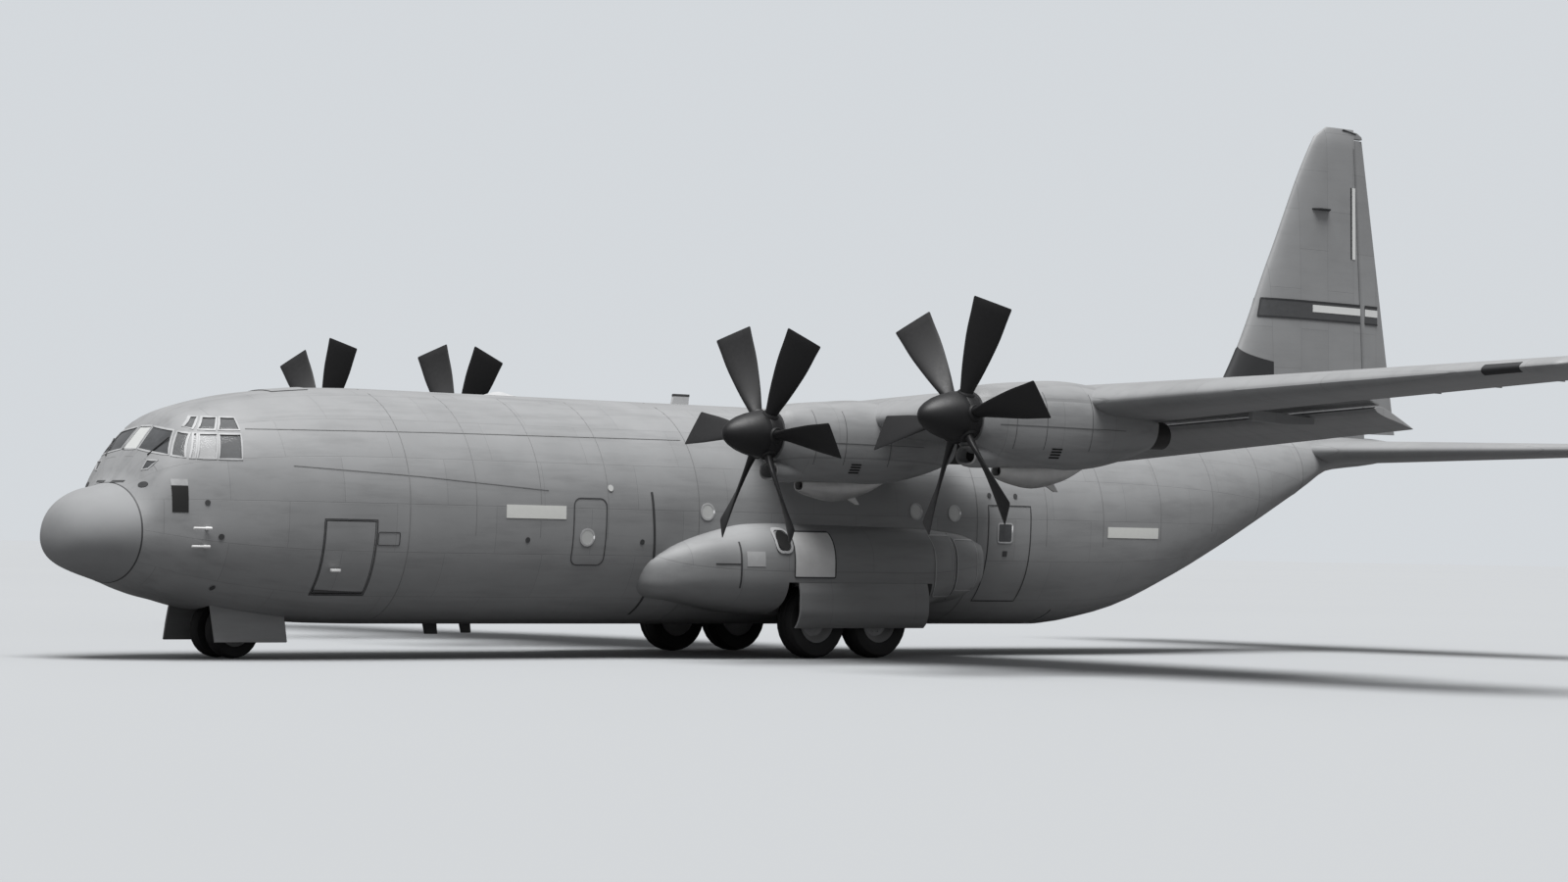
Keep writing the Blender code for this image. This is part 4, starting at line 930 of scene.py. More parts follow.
def build_flight_deck():
    """Seats with their cushions, control columns, glare shield and centre pedestal."""
    for side, label in SIDES:
        x = side * 0.80
        stand = [block("stand", (x - 0.13, 2.86, DECK_TOP), (x + 0.13, 3.14, 2.70), 0.02),
                 block("pan", (x - 0.25, 2.73, 2.70), (x + 0.25, 3.25, 2.74), 0.012),
                 prism("back_shell", ((3.24, 2.76), (3.28, 2.76), (3.40, 3.60), (3.36, 3.60)),
                       x - 0.24, x + 0.24, side_view, 0.01)]
        for arm in (-1, 1):
            stand.append(block("arm", (x + arm * 0.27 - 0.025, 2.86, 2.98),
                               (x + arm * 0.27 + 0.025, 3.28, 3.02), 0.01))
            stand.append(bar("arm_post", (x + arm * 0.27, 3.22, 2.72), (x + arm * 0.27, 3.22, 3.0),
                             0.018, 12))
        dress(join_pieces(f"pilot_seat_frame_{label}", stand), "airframe", "seat_frame",
              f"pilot_seat_{label}")
        build_cushion(f"seat_cushion_{label}", (x - 0.235, 2.74, 2.74), (x + 0.235, 3.20, 2.86))
        build_cushion(f"back_cushion_{label}", (x - 0.225, 3.13, 2.86), (x + 0.225, 3.23, 3.46), 0.14)
        build_cushion(f"head_cushion_{label}", (x - 0.14, 3.16, 3.49), (x + 0.14, 3.24, 3.66), 0.14)
        column = [bar("column", (x, 2.28, 2.37), (x, 2.40, 3.02), 0.03, 16),
                  bar("bar", (x - 0.15, 2.40, 3.02), (x + 0.15, 2.40, 3.02), 0.018, 12)]
        for grip in (-1, 1):
            column.append(bar("grip", (x + grip * 0.15, 2.40, 2.98), (x + grip * 0.17, 2.42, 3.16),
                              0.022, 12))
        dress(join_pieces(f"control_column_{label}", column), "airframe", "panel")
    shield = prism("glare_shield_cover", ((1.88, 3.37), (2.24, 3.36), (2.24, 3.39), (1.95, 3.41)),
                   -1.30, 1.30, side_view, 0.01)
    dress(shield, "airframe", "panel")
    pedestal = [block("pedestal", (-0.24, 2.16, DECK_TOP), (0.24, 3.00, 2.92), 0.03)]
    for count in range(4):
        x = -0.135 + 0.09 * count
        pedestal.append(bar("lever", (x, 2.42, 2.90), (x, 2.36, 3.06), 0.01, 8))
        pedestal.append(block("lever_grip", (x - 0.025, 2.34, 3.04), (x + 0.025, 2.39, 3.09), 0.01))
    dress(join_pieces("centre_pedestal", pedestal), "airframe", "panel")
    dials = []
    for column in range(14):
        for row in range(2):
            x, z = -1.17 + 0.18 * column, 2.84 + 0.22 * row
            station = 2.105 + 0.02 * (z - 2.36) / 0.90
            dials.append(lathe("dial",
                               ((0.0, 0.0), (0.062, 0.0), (0.068, 0.012), (0.052, 0.014),
                                (0.050, 0.008), (0.0, 0.008)), (x, station, z), (0, 1, 0), 16))
    dress(join_pieces("dial_rims", dials), "airframe", "dial")


def build_nose():
    """Radome, nose skin with its windows, and the nose gear's well."""
    radome = hull_tube("radome_shell", NOSE_TIP, RADOME_END - 0.008)
    dress(radome, "airframe", "radome", "radome")
    skin = hull_shell("nose_skin", RADOME_END, NOSE_END)
    first, last, half, roof = NOSE_WELL
    s0, s1, z0, z1 = CREW_DOOR
    cut(skin, *build_windows(), block("well_cut", (-half, first, 0.2), (half, last, roof)),
        block("door_cut", (0.9, s0, z0), (2.6, s1, z1)))
    dress(skin, "airframe", "hull", "nose_section")
    liner = boxed_well("nose_well", first, last, -half, half, 0.86, roof)
    keep(liner, hull_tube("well_trim", RADOME_END, NOSE_END, inset=0.01))
    dress(liner, "airframe", "liner")
    seam = tube("radome_seam",
                [hull_ring(RADOME_END - 0.012, -0.002), hull_ring(RADOME_END + 0.012, -0.004)],
                closed=False)
    dress(seam, "airframe", "line")


def build_barrels():
    """Forward, centre and aft skins and the tail cone."""
    dress(hull_shell("forward_skin", NOSE_END + 0.001, FORWARD_END), "airframe", "hull",
          "forward_fuselage")

    centre = hull_shell("centre_skin", FORWARD_END + 0.001, CENTRE_END)
    for side, label in SIDES:
        cut(centre, wheel_well(f"{label}_hull_well", side))
    dress(centre, "airframe", "hull", "centre_fuselage")

    aft = hull_shell("aft_skin", CENTRE_END + 0.001, AFT_END)
    s0, s1, z0, z1 = JUMP_DOOR
    for side, label in SIDES:
        cut(aft, block(f"{label}_jump_cut", (side * 1.0, s0, z0), (side * 2.7, s1, z1)))
    cut(aft, ramp_prism("ramp_cut", RUN), cargo_prism("cargo_cut", RUN))
    dress(aft, "airframe", "hull", "aft_fuselage")

    tail = hull_tube("tail_cone_skin", AFT_END + 0.001, TAIL_END)
    for side, label in SIDES:
        cut(tail, block(f"{label}_elevator_room", (side * ELEVATOR_ROOT, STAB_HINGE - 0.22, 3.9),
                        (side * 1.0, 34.6, 4.9)))
    dress(tail, "airframe", "hull", "tail_cone")


def wheel_well(name, side):
    """The space round one side's main wheels."""
    outline = [(side * x, z) for x, z in
               ((WELL_INNER, 0.1), (3.3, 0.1), (3.3, WELL_LIP), (2.60, WELL_LIP), (2.60, WELL_ROOF),
                (WELL_INNER, WELL_ROOF))]
    return prism(name, outline, WELL_STATIONS[0], WELL_STATIONS[1], front_view)


def ramp_prism(name, grow):
    """The ramp's side view, carried across its width."""
    first, last = RAMP
    front = first - 3 * grow
    outline = ((front, 0.2), (last + 0.02, 0.2), (last + 0.02, 1.20), (last - 0.25 + grow, 1.66 + grow),
               (front, FLOOR_TOP + grow))
    half = RAMP_HALF_WIDTH + grow
    return prism(name, outline, -half, half, side_view)


def cargo_prism(name, grow):
    """The aft door's plan, carried through the underside."""
    first, last = CARGO_DOOR[0] - grow, CARGO_DOOR[1] + grow
    front, back = RAMP_HALF_WIDTH + grow, CARGO_TAIL_HALF_WIDTH + grow
    outline = ((-front, first), (front, first), (back, last), (-back, last))
    return prism(name, outline, 0.8, 3.62, plan_view)


def build_crew_door():
    """The crew door on its hinge pin, with the steps on its inner side."""
    s0, s1, z0, z1 = CREW_DOOR
    door = hull_shell("crew_door_leaf", s0 - 0.3, s1 + 0.3)
    keep(door,
         block("crew_keep", (0.9, s0 + CREW_DOOR_RUN, z0 + RUN), (2.6, s1 - CREW_DOOR_RUN, z1 - RUN)))
    dress(door, "crew_door", "hull", "crew_door")
    level = z0 + RUN + PIN
    front, rear = hull_out(s0, level), hull_out(s1, level)
    taper = (rear - front) / 4
    pin = bar("crew_door_pin", (front + taper, s0 + 0.004, level), (rear - taper, s1 - 0.004, level),
              PIN * 0.95)
    dress(pin, "crew_door", "line")
    steps = []
    for count in range(3):
        z = z0 + 0.30 + 0.32 * count
        wall = hull_out((s0 + s1) / 2, z, SKIN)
        steps.append(block("step", (wall - 0.14, s0 + 0.22, z), (wall + 0.01, s1 - 0.22, z + 0.025),
                           0.008))
    dress(join_pieces("crew_door_steps", steps), "crew_door", "floor")
    outline("crew_door_outline",
            [(s0 - 0.02, z0 - 0.02), (s1 + 0.02, z0 - 0.02), (s1 + 0.02, z1 + 0.02),
             (s0 - 0.02, z1 + 0.02)], on_side(1, LIFT))
    dress(block("crew_door_handle", (2.02, s0 + 0.14, 1.55), (2.09, s0 + 0.32, 1.60), 0.008),
          "crew_door", "bright")


def build_jump_doors():
    """Both jump doors with their windows and latches."""
    s0, s1, z0, z1 = JUMP_DOOR
    for side, label in SIDES:
        door = hull_shell(f"jump_door_{label}_leaf", s0 - 0.2, s1 + 0.2)
        keep(door, block(f"{label}_jump_keep", (side * 1.0, s0 + 0.004, z0 + 0.004),
                         (side * 2.7, s1 - 0.004, z1 - 0.004)))
        dress(door, "airframe", "hull", f"jump_door_{label}")
        place = on_side(side, LIFT)
        outline(f"jump_door_{label}_outline", box_outline(s0, z0, s1, z1), place)
        frame_box = rounded_box(19.86, 2.28, 20.24, 2.66, 0.05)
        # The window is a patch of opaque dark glass: painted shade behind it.
        patch(f"jump_window_{label}", box_outline(19.88, 2.30, 20.22, 2.64), place,
              "dark_glass")
        outline(f"jump_window_{label}_rim", frame_box, on_side(side, 0.010), 0.03, "pale")
        patch(f"jump_latch_{label}", box_outline(20.02, 2.0, 20.14, 2.11), place, "line")
        for count, station in enumerate((19.65, 20.36)):
            disc(f"jump_rail_foot_{count}_{label}", station, 3.22, 0.05, on_side(side, 0.012), "line")


def build_ramp():
    """The ramp with its hinge pins, their lugs and its treads."""
    ramp = ramp_prism("ramp_slab", 0.0)
    keep(ramp, hull_tube("ramp_keep", CENTRE_END, AFT_END))
    inner, outer = RAMP_LUG
    cut(ramp,
        *(bar("ramp_notch", (side * (inner - RUN), *RAMP_HINGE), (side * (outer + RUN), *RAMP_HINGE),
              0.10) for side in (1, -1)))
    dress(ramp, "ramp", "hull", "ramp")
    pins, lugs = [], []
    for side, _ in SIDES:
        pins.append(bar("ramp_pin", (side * (inner - 0.1), *RAMP_HINGE),
                        (side * (inner - 0.001), *RAMP_HINGE), PIN))
        lugs.append(block("ramp_lug", (side * inner, RAMP[0] - 0.10, RAMP_HINGE[1] - 0.045),
                          (side * outer, RAMP_HINGE[0] + 0.055, RAMP_HINGE[1] + 0.045), 0.01))
    dress(join_pieces("ramp_pins", pins), "ramp", "gear")
    dress(join_pieces("ramp_lugs", lugs), "airframe", "gear")
    treads = []
    low, high = RAMP[0] + 0.15, RAMP[1] - 0.35
    for count in range(12):
        station = low + (high - low) * count / 11
        z = FLOOR_TOP + (1.66 - FLOOR_TOP) * (station - RAMP[0]) / (RAMP[1] - 0.25 - RAMP[0])
        treads.append(block("tread", (-1.15, station, z - 0.01), (1.15, station + 0.03, z + 0.012),
                            0.004))
    dress(join_pieces("ramp_treads", treads), "ramp", "floor")


def build_cargo_door():
    """The aft cargo door, cut back above so that it can swing up."""
    door = hull_shell("cargo_door_leaf", CENTRE_END, AFT_END, 0.10)
    back, level = CARGO_HINGE[0] - 0.05, CARGO_HINGE[1]
    above = ((CARGO_DOOR[0] - 0.2, 1.65), (back, level), (back + 0.3, level), (back + 0.3, 4.2),
             (CARGO_DOOR[0] - 0.2, 4.2))
    keep(door, cargo_prism("cargo_keep", 0.0))
    cut(door, prism("cargo_headroom", above, -1.6, 1.6, side_view))
    dress(door, "cargo_door", "hull", "cargo_door")


# Aerofoil: chord share and share of the greatest thickness
airfoil = curve([math.sqrt(share) for share in (0, 0.015, 0.06, 0.18, 0.36, 0.58, 0.71, 1.0)],
                [0.0, 0.31, 0.60, 0.90, 1.0, 0.84, 0.62, 0.035])


def chord_line(x):
    """Leading edge, trailing edge, reference height and half thickness of the wing."""
    share = max(0.0, abs(x) - WING_BREAK) / (WING_TIP - WING_BREAK)
    leading = WING_LE + (TIP_LE - WING_LE) * share
    trailing = WING_TE + (TIP_TE - WING_TE) * share
    thickness = 0.184 + (0.120 - 0.184) * share
    return leading, trailing, WING_Z + DIHEDRAL * abs(x), thickness * (trailing - leading) / 2


def wing_skin_point(x, share, side, grow=0.0):
    """A point of the wing's upper (side 1) or lower (side -1) skin."""
    leading, trailing, middle, half = chord_line(x)
    lift = 0.12 * 2 * half * (1 - (2 * share - 1) ** 2)
    z = middle + lift * min(1.0, share / 0.03) + side * (airfoil(math.sqrt(share)) * half + grow)
    return x, leading + share * (trailing - leading), z


def wing_ring(x, full):
    """Points round the wing, its tail folded into a wall unless the section is full."""
    front = [WING_CUT * (1 - math.cos(math.pi / 2 * i / 18)) for i in range(19)]
    top = [wing_skin_point(x, share, 1) for share in reversed(front)]
    under = [wing_skin_point(x, share, -1) for share in front[1:]]
    tail = []
    for side in (-1, 1):
        for step in range(1, 5):
            share = WING_CUT + (1 - WING_CUT) * (step if side < 0 else 5 - step) / 4.0
            share = min(share, 1.0)
            point = wing_skin_point(x, share, side)
            if not full:
                low, high = wing_skin_point(x, WING_CUT, -1), wing_skin_point(x, WING_CUT, 1)
                place = (step if side < 0 else step + 4) / 9
                point = (x, low[1], low[2] + (high[2] - low[2]) * place)
            tail.append(point)
    return top + under + tail


def build_wing():
    """Centre and outer wings, flaps with their tracks, and ailerons."""
    spans = [WING_BREAK * i / 8 for i in range(-8, 9)]
    centre = tube("wing_centre_skin", [wing_ring(x, False) for x in spans], angle=30)
    dress(centre, "airframe", "wing", "wing_centre")
    steps = ((WING_BREAK + 0.001, False), (FLAP_TIP + RUN, False), (FLAP_TIP + RUN, True),
             (AILERON_ROOT - RUN, True), (AILERON_ROOT - RUN, False), (AILERON_TIP + RUN, False),
             (AILERON_TIP + RUN, True), (WING_TIP - 0.20, True))
    rings = [wing_ring(x, full) for x, full in steps]
    base = rings[-1]
    leading, _, middle, _ = chord_line(WING_TIP - 0.20)
    for i in range(1, 7):
        turn = math.pi / 2 * i / 6
        narrow, thin = 1 - 0.20 * (1 - math.cos(turn)), math.cos(turn) * 0.98 + 0.02
        rings.append([(WING_TIP - 0.20 + 0.195 * math.sin(turn),
                       leading + 0.30 * (1 - math.cos(turn)) + (s - leading) * narrow,
                       middle + 0.05 + (z - middle - 0.05) * thin) for _, s, z in base])
    port = tube("outer_wing_port_skin", rings, angle=30)
    dress_both(port, "airframe", "wing", "outer_wing_port")
    for name, first, last in (("inner", FLAP_ROOT, WING_BREAK - FLAP_GAP),
                              ("outer", WING_BREAK + FLAP_GAP, FLAP_TIP)):
        rings = [flap_ring(first + (last - first) * i / 6) for i in range(7)]
        flap = soften(tube(f"flap_{name}_port_skin", rings), 0.008)
        dress_both(flap, "airframe", "flap", f"flap_{name}_port")
        for count, share in enumerate((0.2, 0.8)):
            arm = flap_arm(f"flap_{name}_arm_{count}_port", first + (last - first) * share)
            dress_both(arm, "airframe", "wing")
    aileron = tube("aileron_port_skin", [aileron_ring(x) for x in
                                         (AILERON_ROOT, (AILERON_ROOT + AILERON_TIP) / 2, AILERON_TIP)])
    soften(aileron, 0.006)
    dress_both(aileron, "aileron_port", "wing", "aileron_port")


def flap_ring(x):
    """The flap's section, run back and down from the wing as in the photograph."""
    leading, trailing, middle, _ = chord_line(x)
    chord = 0.30 * (trailing - leading)
    turn = math.radians(18)
    nose_s, nose_z = trailing + 1.05 - chord * math.cos(turn), middle - 0.16
    upper = curve((0.0, 0.06, 0.25, 0.6, 1.0), (0.0, 0.055, 0.085, 0.055, 0.006))
    lower = curve((0.0, 0.06, 0.25, 0.6, 1.0), (0.0, -0.04, -0.05, -0.025, -0.006))
    shares = [1 - math.cos(math.pi / 2 * i / 12) for i in range(13)]
    shape = [(a, upper(a)) for a in reversed(shares)] + [(a, lower(a)) for a in shares[1:]]
    return [(x, nose_s + chord * (a * math.cos(turn) + b * math.sin(turn)),
             nose_z - chord * (a * math.sin(turn) - b * math.cos(turn))) for a, b in shape]


def flap_arm(name, x):
    """One flap's carriage arm under the wing."""
    leading, trailing, middle, _ = chord_line(x)
    start_at = leading + WING_CUT * (trailing - leading)
    outline = ((start_at - 0.35, middle - 0.32), (start_at + 0.5, middle - 0.36),
               (trailing + 0.12, middle - 0.34), (trailing + 0.12, middle - 0.22),
               (start_at + 0.4, middle - 0.16), (start_at - 0.35, middle - 0.12))
    return prism(name, outline, x - 0.05, x + 0.05, side_view, 0.015)


def nose_arc(hinge, height, radius, steps=16):
    """Points round a control surface's nose, from its upper to its lower side."""
    turns = [math.pi / 2 + math.pi * i / steps for i in range(steps + 1)]
    return [(hinge + radius * math.cos(turn), height + radius * math.sin(turn)) for turn in turns]


def aileron_ring(x):
    """The aileron's section: a round nose about its hinge and a straight tail."""
    leading, trailing, middle, half = chord_line(x)
    hinge, z, radius = leading + AILERON_HINGE * (trailing - leading), middle + 0.03, 0.46 * half
    nose = [(x, *point) for point in nose_arc(hinge, z, radius)]
    return nose + [(x, trailing, middle - 0.012), (x, trailing, middle + 0.012)]


def oval(x, station, z, half, up, down, power=NACELLE_POWER, count=48):
    """An upright oval ring about (x, z)."""
    points = []
    for i in range(count):
        across, rise = rounded(math.tau * i / count, power, half, up, down)
        points.append((x + across, station, z + rise))
    return points


def lofted(name, x, rows, steps, count=48, power=NACELLE_POWER, reach=None):
    """A body through rows of (station, height, half width, reach up, reach down).

    With a reach, the stations crowd towards the first one, which makes the front blunt.
    """
    section = table_curves(rows, reach) if reach else table_curves(rows)
    first, last = rows[0][0], rows[-1][0]
    rings = []
    for i in range(steps + 1):
        share = (i / steps) ** (2 if reach else 1)
        station = first + (last - first) * share
        z, half, up, down = section(station)
        rings.append(oval(x, station, z, half, up, down, power, count))
    return tube(name, rings)


def nacelle_rows(position):
    """A nacelle's sections: station, hub height, half width, reach up, reach down."""
    _, hub, z = ENGINES[position]
    table = ((0.23, 0.44, 0.44, 0.46), (0.27, 0.48, 0.48, 0.51), (0.39, 0.52, 0.53, 0.60),
             (0.81, 0.58, 0.59, 0.80), (1.41, 0.62, 0.64, 0.86), (2.21, 0.64, 0.69, 0.87),
             (3.01, 0.62, 0.64, 0.80), (3.71, 0.54, 0.40, 0.66), (4.36, 0.42, 0.12, 0.46))
    return [(hub + back, z, *sizes) for back, *sizes in table]


def build_engine(position):
    """A port nacelle with its intakes and tailpipe, and its starboard twin."""
    x, hub, z = ENGINES[position]
    aft = hub - ENGINE_DATUM
    body = lofted(f"nacelle_{position}_port_cowl", x, nacelle_rows(position), 36)
    chin = lofted("chin", x,
                  ((11.70 + aft, z - 0.66, 0.25, 0.17, 0.15), (11.74 + aft, z - 0.66, 0.27, 0.19, 0.17),
                   (12.00 + aft, z - 0.63, 0.31, 0.20, 0.22),
                   (12.90 + aft, z - 0.50, 0.34, 0.28, 0.30)), 16, power=INTAKE_POWER)
    cut(chin, lofted("mouth", x, ((11.54 + aft, z - 0.66, 0.225, 0.145, 0.125),
                                  (12.20 + aft, z - 0.64, 0.19, 0.12, 0.10)), 4, power=INTAKE_POWER))
    weld(body, chin)
    dress_both(body, "airframe", "nacelle", f"nacelle_{position}_port")
    scoop = lofted(f"oil_scoop_{position}_port", x,
                   ((12.40 + aft, z - 0.90, 0.13, 0.12, 0.10),
                    (12.46 + aft, z - 0.91, 0.155, 0.145, 0.12),
                    (12.80 + aft, z - 0.93, 0.21, 0.20, 0.19),
                    (13.25 + aft, z - 0.90, 0.23, 0.22, 0.27),
                    (13.80 + aft, z - 0.86, 0.19, 0.20, 0.20),
                    (14.55 + aft, z - 0.66, 0.08, 0.10, 0.08)), 24, 32, INTAKE_POWER)
    cut(scoop, lofted("inlet", x, ((12.30 + aft, z - 0.90, 0.11, 0.10, 0.08),
                                   (12.75 + aft, z - 0.90, 0.09, 0.08, 0.06)), 4, 32, INTAKE_POWER))
    dress_both(scoop, "airframe", "scoop")
    # Black discs in the oil scoop's and the chin intake's throats: painted shade down the ducts.
    inlet = lofted(f"scoop_throat_{position}_port", x,
                   ((12.52 + aft, z - 0.88, 0.10, 0.09, 0.07),
                    (12.54 + aft, z - 0.88, 0.10, 0.09, 0.07)), 1, 32, INTAKE_POWER)
    dress_both(inlet, "airframe", "shade_painted_duct")
    throat = lofted(f"intake_throat_{position}_port", x,
                    ((11.90 + aft, z - 0.65, 0.21, 0.13, 0.11),
                     (11.92 + aft, z - 0.65, 0.21, 0.13, 0.11)), 1, 32, INTAKE_POWER)
    dress_both(throat, "airframe", "shade_painted_duct")
    pipe = lathe(f"tailpipe_{position}_port",
                 ((0.0, 0.6), (0.20, 0.6), (0.205, 1.04), (0.225, 1.05), (0.24, 1.03), (0.245, 0.4),
                  (0.0, 0.4)), (x, 15.3 + aft, z - 0.17), (0, 1, 0))
    dress_both(pipe, "airframe", "soot")


def blade_ring(radius, chord, thick, pitch, angle, hub, sweep):
    """One section of a blade: a rounded aerofoil square to the blade's length."""
    x0, station0, z0 = hub
    outward, across = (math.sin(angle), math.cos(angle)), (math.cos(angle), -math.sin(angle))
    points = []
    for i in range(20):
        turn = math.tau * i / 20
        along = math.cos(turn) * 0.5
        up = math.sin(turn) * 0.5 * (1 - 0.35 * math.cos(turn))
        a = (along * chord + sweep) * math.cos(pitch) - up * thick * math.sin(pitch)
        b = (along * chord + sweep) * math.sin(pitch) + up * thick * math.cos(pitch)
        points.append((x0 + outward[0] * radius + across[0] * a, station0 + b,
                       z0 + outward[1] * radius + across[1] * a))
    return points


def build_propeller(position, side, label):
    """Spinner, blade roots and six blades, all turning together."""
    out, station, z = ENGINES[position]
    x = side * out
    node_name = f"propeller_{position}_{label}"
    spinner = lathe(f"spinner_{position}_{label}",
                    ((0.0, 0.84), (0.045, 0.832), (0.10, 0.805), (0.17, 0.74), (0.24, 0.64),
                     (0.31, 0.50), (0.37, 0.32), (0.41, 0.14), (0.425, 0.05), (0.421, 0.04),
                     (0.427, 0.03), (0.43, -0.10), (0.43, -0.20), (0.40, -0.21), (0.12, -0.21),
                     (0.12, -0.229), (0.0, -0.229)), (x, station, z), (0, -1, 0), 64)
    dress(spinner, node_name, "spinner", node_name)
    shape = table_curves(((0.34, 0.20, 0.17, 60, 0.0), (0.50, 0.25, 0.13, 56, 0.0),
                          (0.75, 0.355, 0.09, 49, 0.0), (1.05, 0.465, 0.072, 43, 0.0),
                          (1.50, 0.60, 0.052, 36, 0.0), (1.85, 0.66, 0.040, 31, 0.0),
                          (2.04, 0.70, 0.030, 29, 0.0), (PROP_RADIUS, 0.68, 0.012, 29, 0.0)))
    blades = []
    for count in range(BLADES):
        angle = math.radians(FIRST_BLADE[position]) + math.tau * count / BLADES
        rings = []
        for i in range(15):
            radius = 0.34 + (PROP_RADIUS - 0.34) * min(1.0, i / 13.0 * 0.985) if i < 14 else PROP_RADIUS
            chord, thick, pitch, sweep = shape(radius)
            rings.append(blade_ring(radius, chord, thick, math.radians(pitch), angle,
                                    (x, station + 0.05, z), sweep))
        blades.append(tube(f"blade_{count}", rings, angle=50))
        root = Vector((math.sin(angle), 0, math.cos(angle)))
        foot = Vector((x, station + 0.05, z)) + root * 0.36
        blades.append(lathe(f"collar_{count}",
                            ((0.0, 0.0), (0.155, 0.0), (0.155, 0.055), (0.135, 0.085), (0.0, 0.085)),
                            foot, root, 24))
    dress(join_pieces(f"blades_{position}_{label}", blades), node_name, "blade")


def build_sponson():
    """The port wheel fairing and its twin, each with its hanging wheel door."""
    body = lofted("sponson_port_skin", SPONSON_X, SPONSON, 60, 64, SPONSON_POWER, sponson_reach)
    cut(body, wheel_well("sponson_well", 1), hull_tube("sponson_seat", 10.0, 20.5, inset=0.03))
    dress_both(body, "airframe", "hull", "sponson_port")
    door = prism("wheel_door_port_skin", wheel_door_outline(), 14.30, 17.52, front_view, 0.006)
    dress_both(door, "airframe", "hull", "wheel_door_port")


def dress_sponson():
    """Panels, a blank plate and the cooling scoop on each wheel fairing."""
    for side, label in SIDES:
        place = on_sponson(side, LIFT)
        patch(f"air_unit_panel_{label}", box_outline(14.19, 1.56, 15.15, 2.40), place,
              "bright", across=8, along=10)
        outline(f"air_unit_line_{label}", rounded_box(14.17, 1.54, 15.17, 2.42, 0.04),
                on_sponson(side, 0.009))
        outline(f"scoop_frame_{label}", rounded_box(13.76, 2.02, 14.12, 2.46, 0.12),
                on_sponson(side, 0.024), 0.05, "pale")
        # The scoop's hole is a black disc: painted shade inside it.
        disc(f"scoop_hole_{label}", 13.94, 2.24, 0.155, on_sponson(side, 0.030), "shade_painted_hole", flat=1.2)
        patch(f"blank_plate_{label}", box_outline(13.05, 1.74, 13.47, 2.02), place, "pale")
        line(f"tow_mark_upright_{label}", ((12.93, 2.20), (12.93, 1.33)), place, 0.035)
        line(f"tow_mark_bar_{label}", ((12.38, 1.78), (12.91, 1.78)), place, 0.025)
        outline(f"rear_panel_{label}", rounded_box(17.72, 1.20, 18.34, 2.40, 0.05), place, 0.02, "pale")
        outline(f"tail_panel_{label}", rounded_box(18.42, 1.32, 19.16, 2.32, 0.05), place, 0.02, "pale")
        line(f"fairing_seam_{label}", ((18.38, 2.44), (18.38, 1.14)), place, 0.02)


def wheel_door_outline():
    """The wheel door's curved section, outer face then inner face."""
    outer = curve((0.58, 0.66, 0.92, 1.20, 1.45), (2.60, 2.68, 2.76, 2.76, 2.70))
    heights = [0.58 + (1.45 - 0.58) * i / 14 for i in range(15)]
    return [(outer(z), z) for z in reversed(heights)] + [(outer(z) - 0.05, z + 0.01) for z in heights]


def build_wheel(name, body, centre, axis, radius, width, replaced, grooves=True):
    """One tyre with its grooves, and its rim with a hub cap and bolts."""
    half = width / 2
    rim_radius = radius * 0.56
    wall = [(rim_radius, -half * 0.72), (rim_radius + 0.03, -half * 0.84), (radius * 0.76, -half),
            (radius * 0.92, -half * 0.93), (radius * 0.985, -half * 0.66)]
    crown = [(radius, -half * 0.38), (radius - 0.014, -half * 0.32), (radius - 0.014, -half * 0.22),
             (radius, -half * 0.16)] if grooves else [(radius, -half * 0.3)]
    port_half = wall + crown
    profile = port_half + [(r, -h) for r, h in reversed(port_half)]
    tyre = lathe(f"{name}_tyre", profile + [profile[0]], centre, axis, TYRE_STEPS)
    dress(tyre, body, "tyre", *replaced)
    rim = lathe(f"{name}_rim",
                ((0.0, half * 0.62), (radius * 0.12, half * 0.62), (radius * 0.15, half * 0.50),
                 (radius * 0.17, half * 0.36), (radius * 0.40, half * 0.28),
                 (radius * 0.46, half * 0.48), (rim_radius + 0.012, half * 0.80),
                 (rim_radius + 0.02, half * 0.70), (rim_radius + 0.005, 0.0),
                 (rim_radius + 0.02, -half * 0.70), (rim_radius + 0.012, -half * 0.80),
                 (radius * 0.46, -half * 0.48), (radius * 0.20, -half * 0.40), (0.0, -half * 0.40)),
                centre, axis, 48)
    bolts = []
    turn = Vector(axis).to_track_quat("Z", "Y")
    for i in range(10):
        angle = math.tau * i / 10
        spot = Vector(centre) + turn @ Vector((radius * 0.29 * math.cos(angle),
                                               radius * 0.29 * math.sin(angle), half * 0.26))
        bolts.append(lathe(f"bolt_{i}",
                           ((0.0, 0.0), (0.018, 0.0), (0.018, 0.03), (0.012, 0.036), (0.0, 0.036)),
                           spot, axis, 6))
    dress(join_pieces(f"{name}_rim", [rim] + bolts), body, "rim")


def build_main_gear():
    """Main struts with their links and wheels."""
    for side, label in SIDES:
        x = side * 1.76
        struts = []
        for name, station in MAIN_STATIONS.items():
            struts.append(bar(f"strut_{name}", (x, station, 0.58), (x, station, WELL_ROOF - 0.01),
                              0.085, 24, ((0.0, 0.20, 0.11), (0.45, 0.52, 0.105), (0.9, 1.0, 0.11))))
            struts.append(bar(f"stub_{name}", (x, station, MAIN_RADIUS),
                              (side * (MAIN_X - 0.13), station, MAIN_RADIUS), 0.07))
            build_wheel(f"main_{name}_{label}", f"main_wheel_{name}_{label}",
                        (side * MAIN_X, station, MAIN_RADIUS), (side, 0, 0), MAIN_RADIUS, MAIN_WIDTH,
                        (f"main_wheel_{name}_{label}",))
        struts.append(block("beam", (x - 0.06, 15.0, 1.50), (x + 0.06, 16.56, 1.66), 0.02))
        struts.append(bar("drag_link", (x, 15.08, 0.80), (x, 15.72, 1.56), 0.035))
        struts.append(bar("drag_link_rear", (x, 16.48, 0.80), (x, 15.84, 1.56), 0.035))
        dress(join_pieces(f"main_struts_{label}", struts), "airframe", "gear", f"main_gear_{label}")


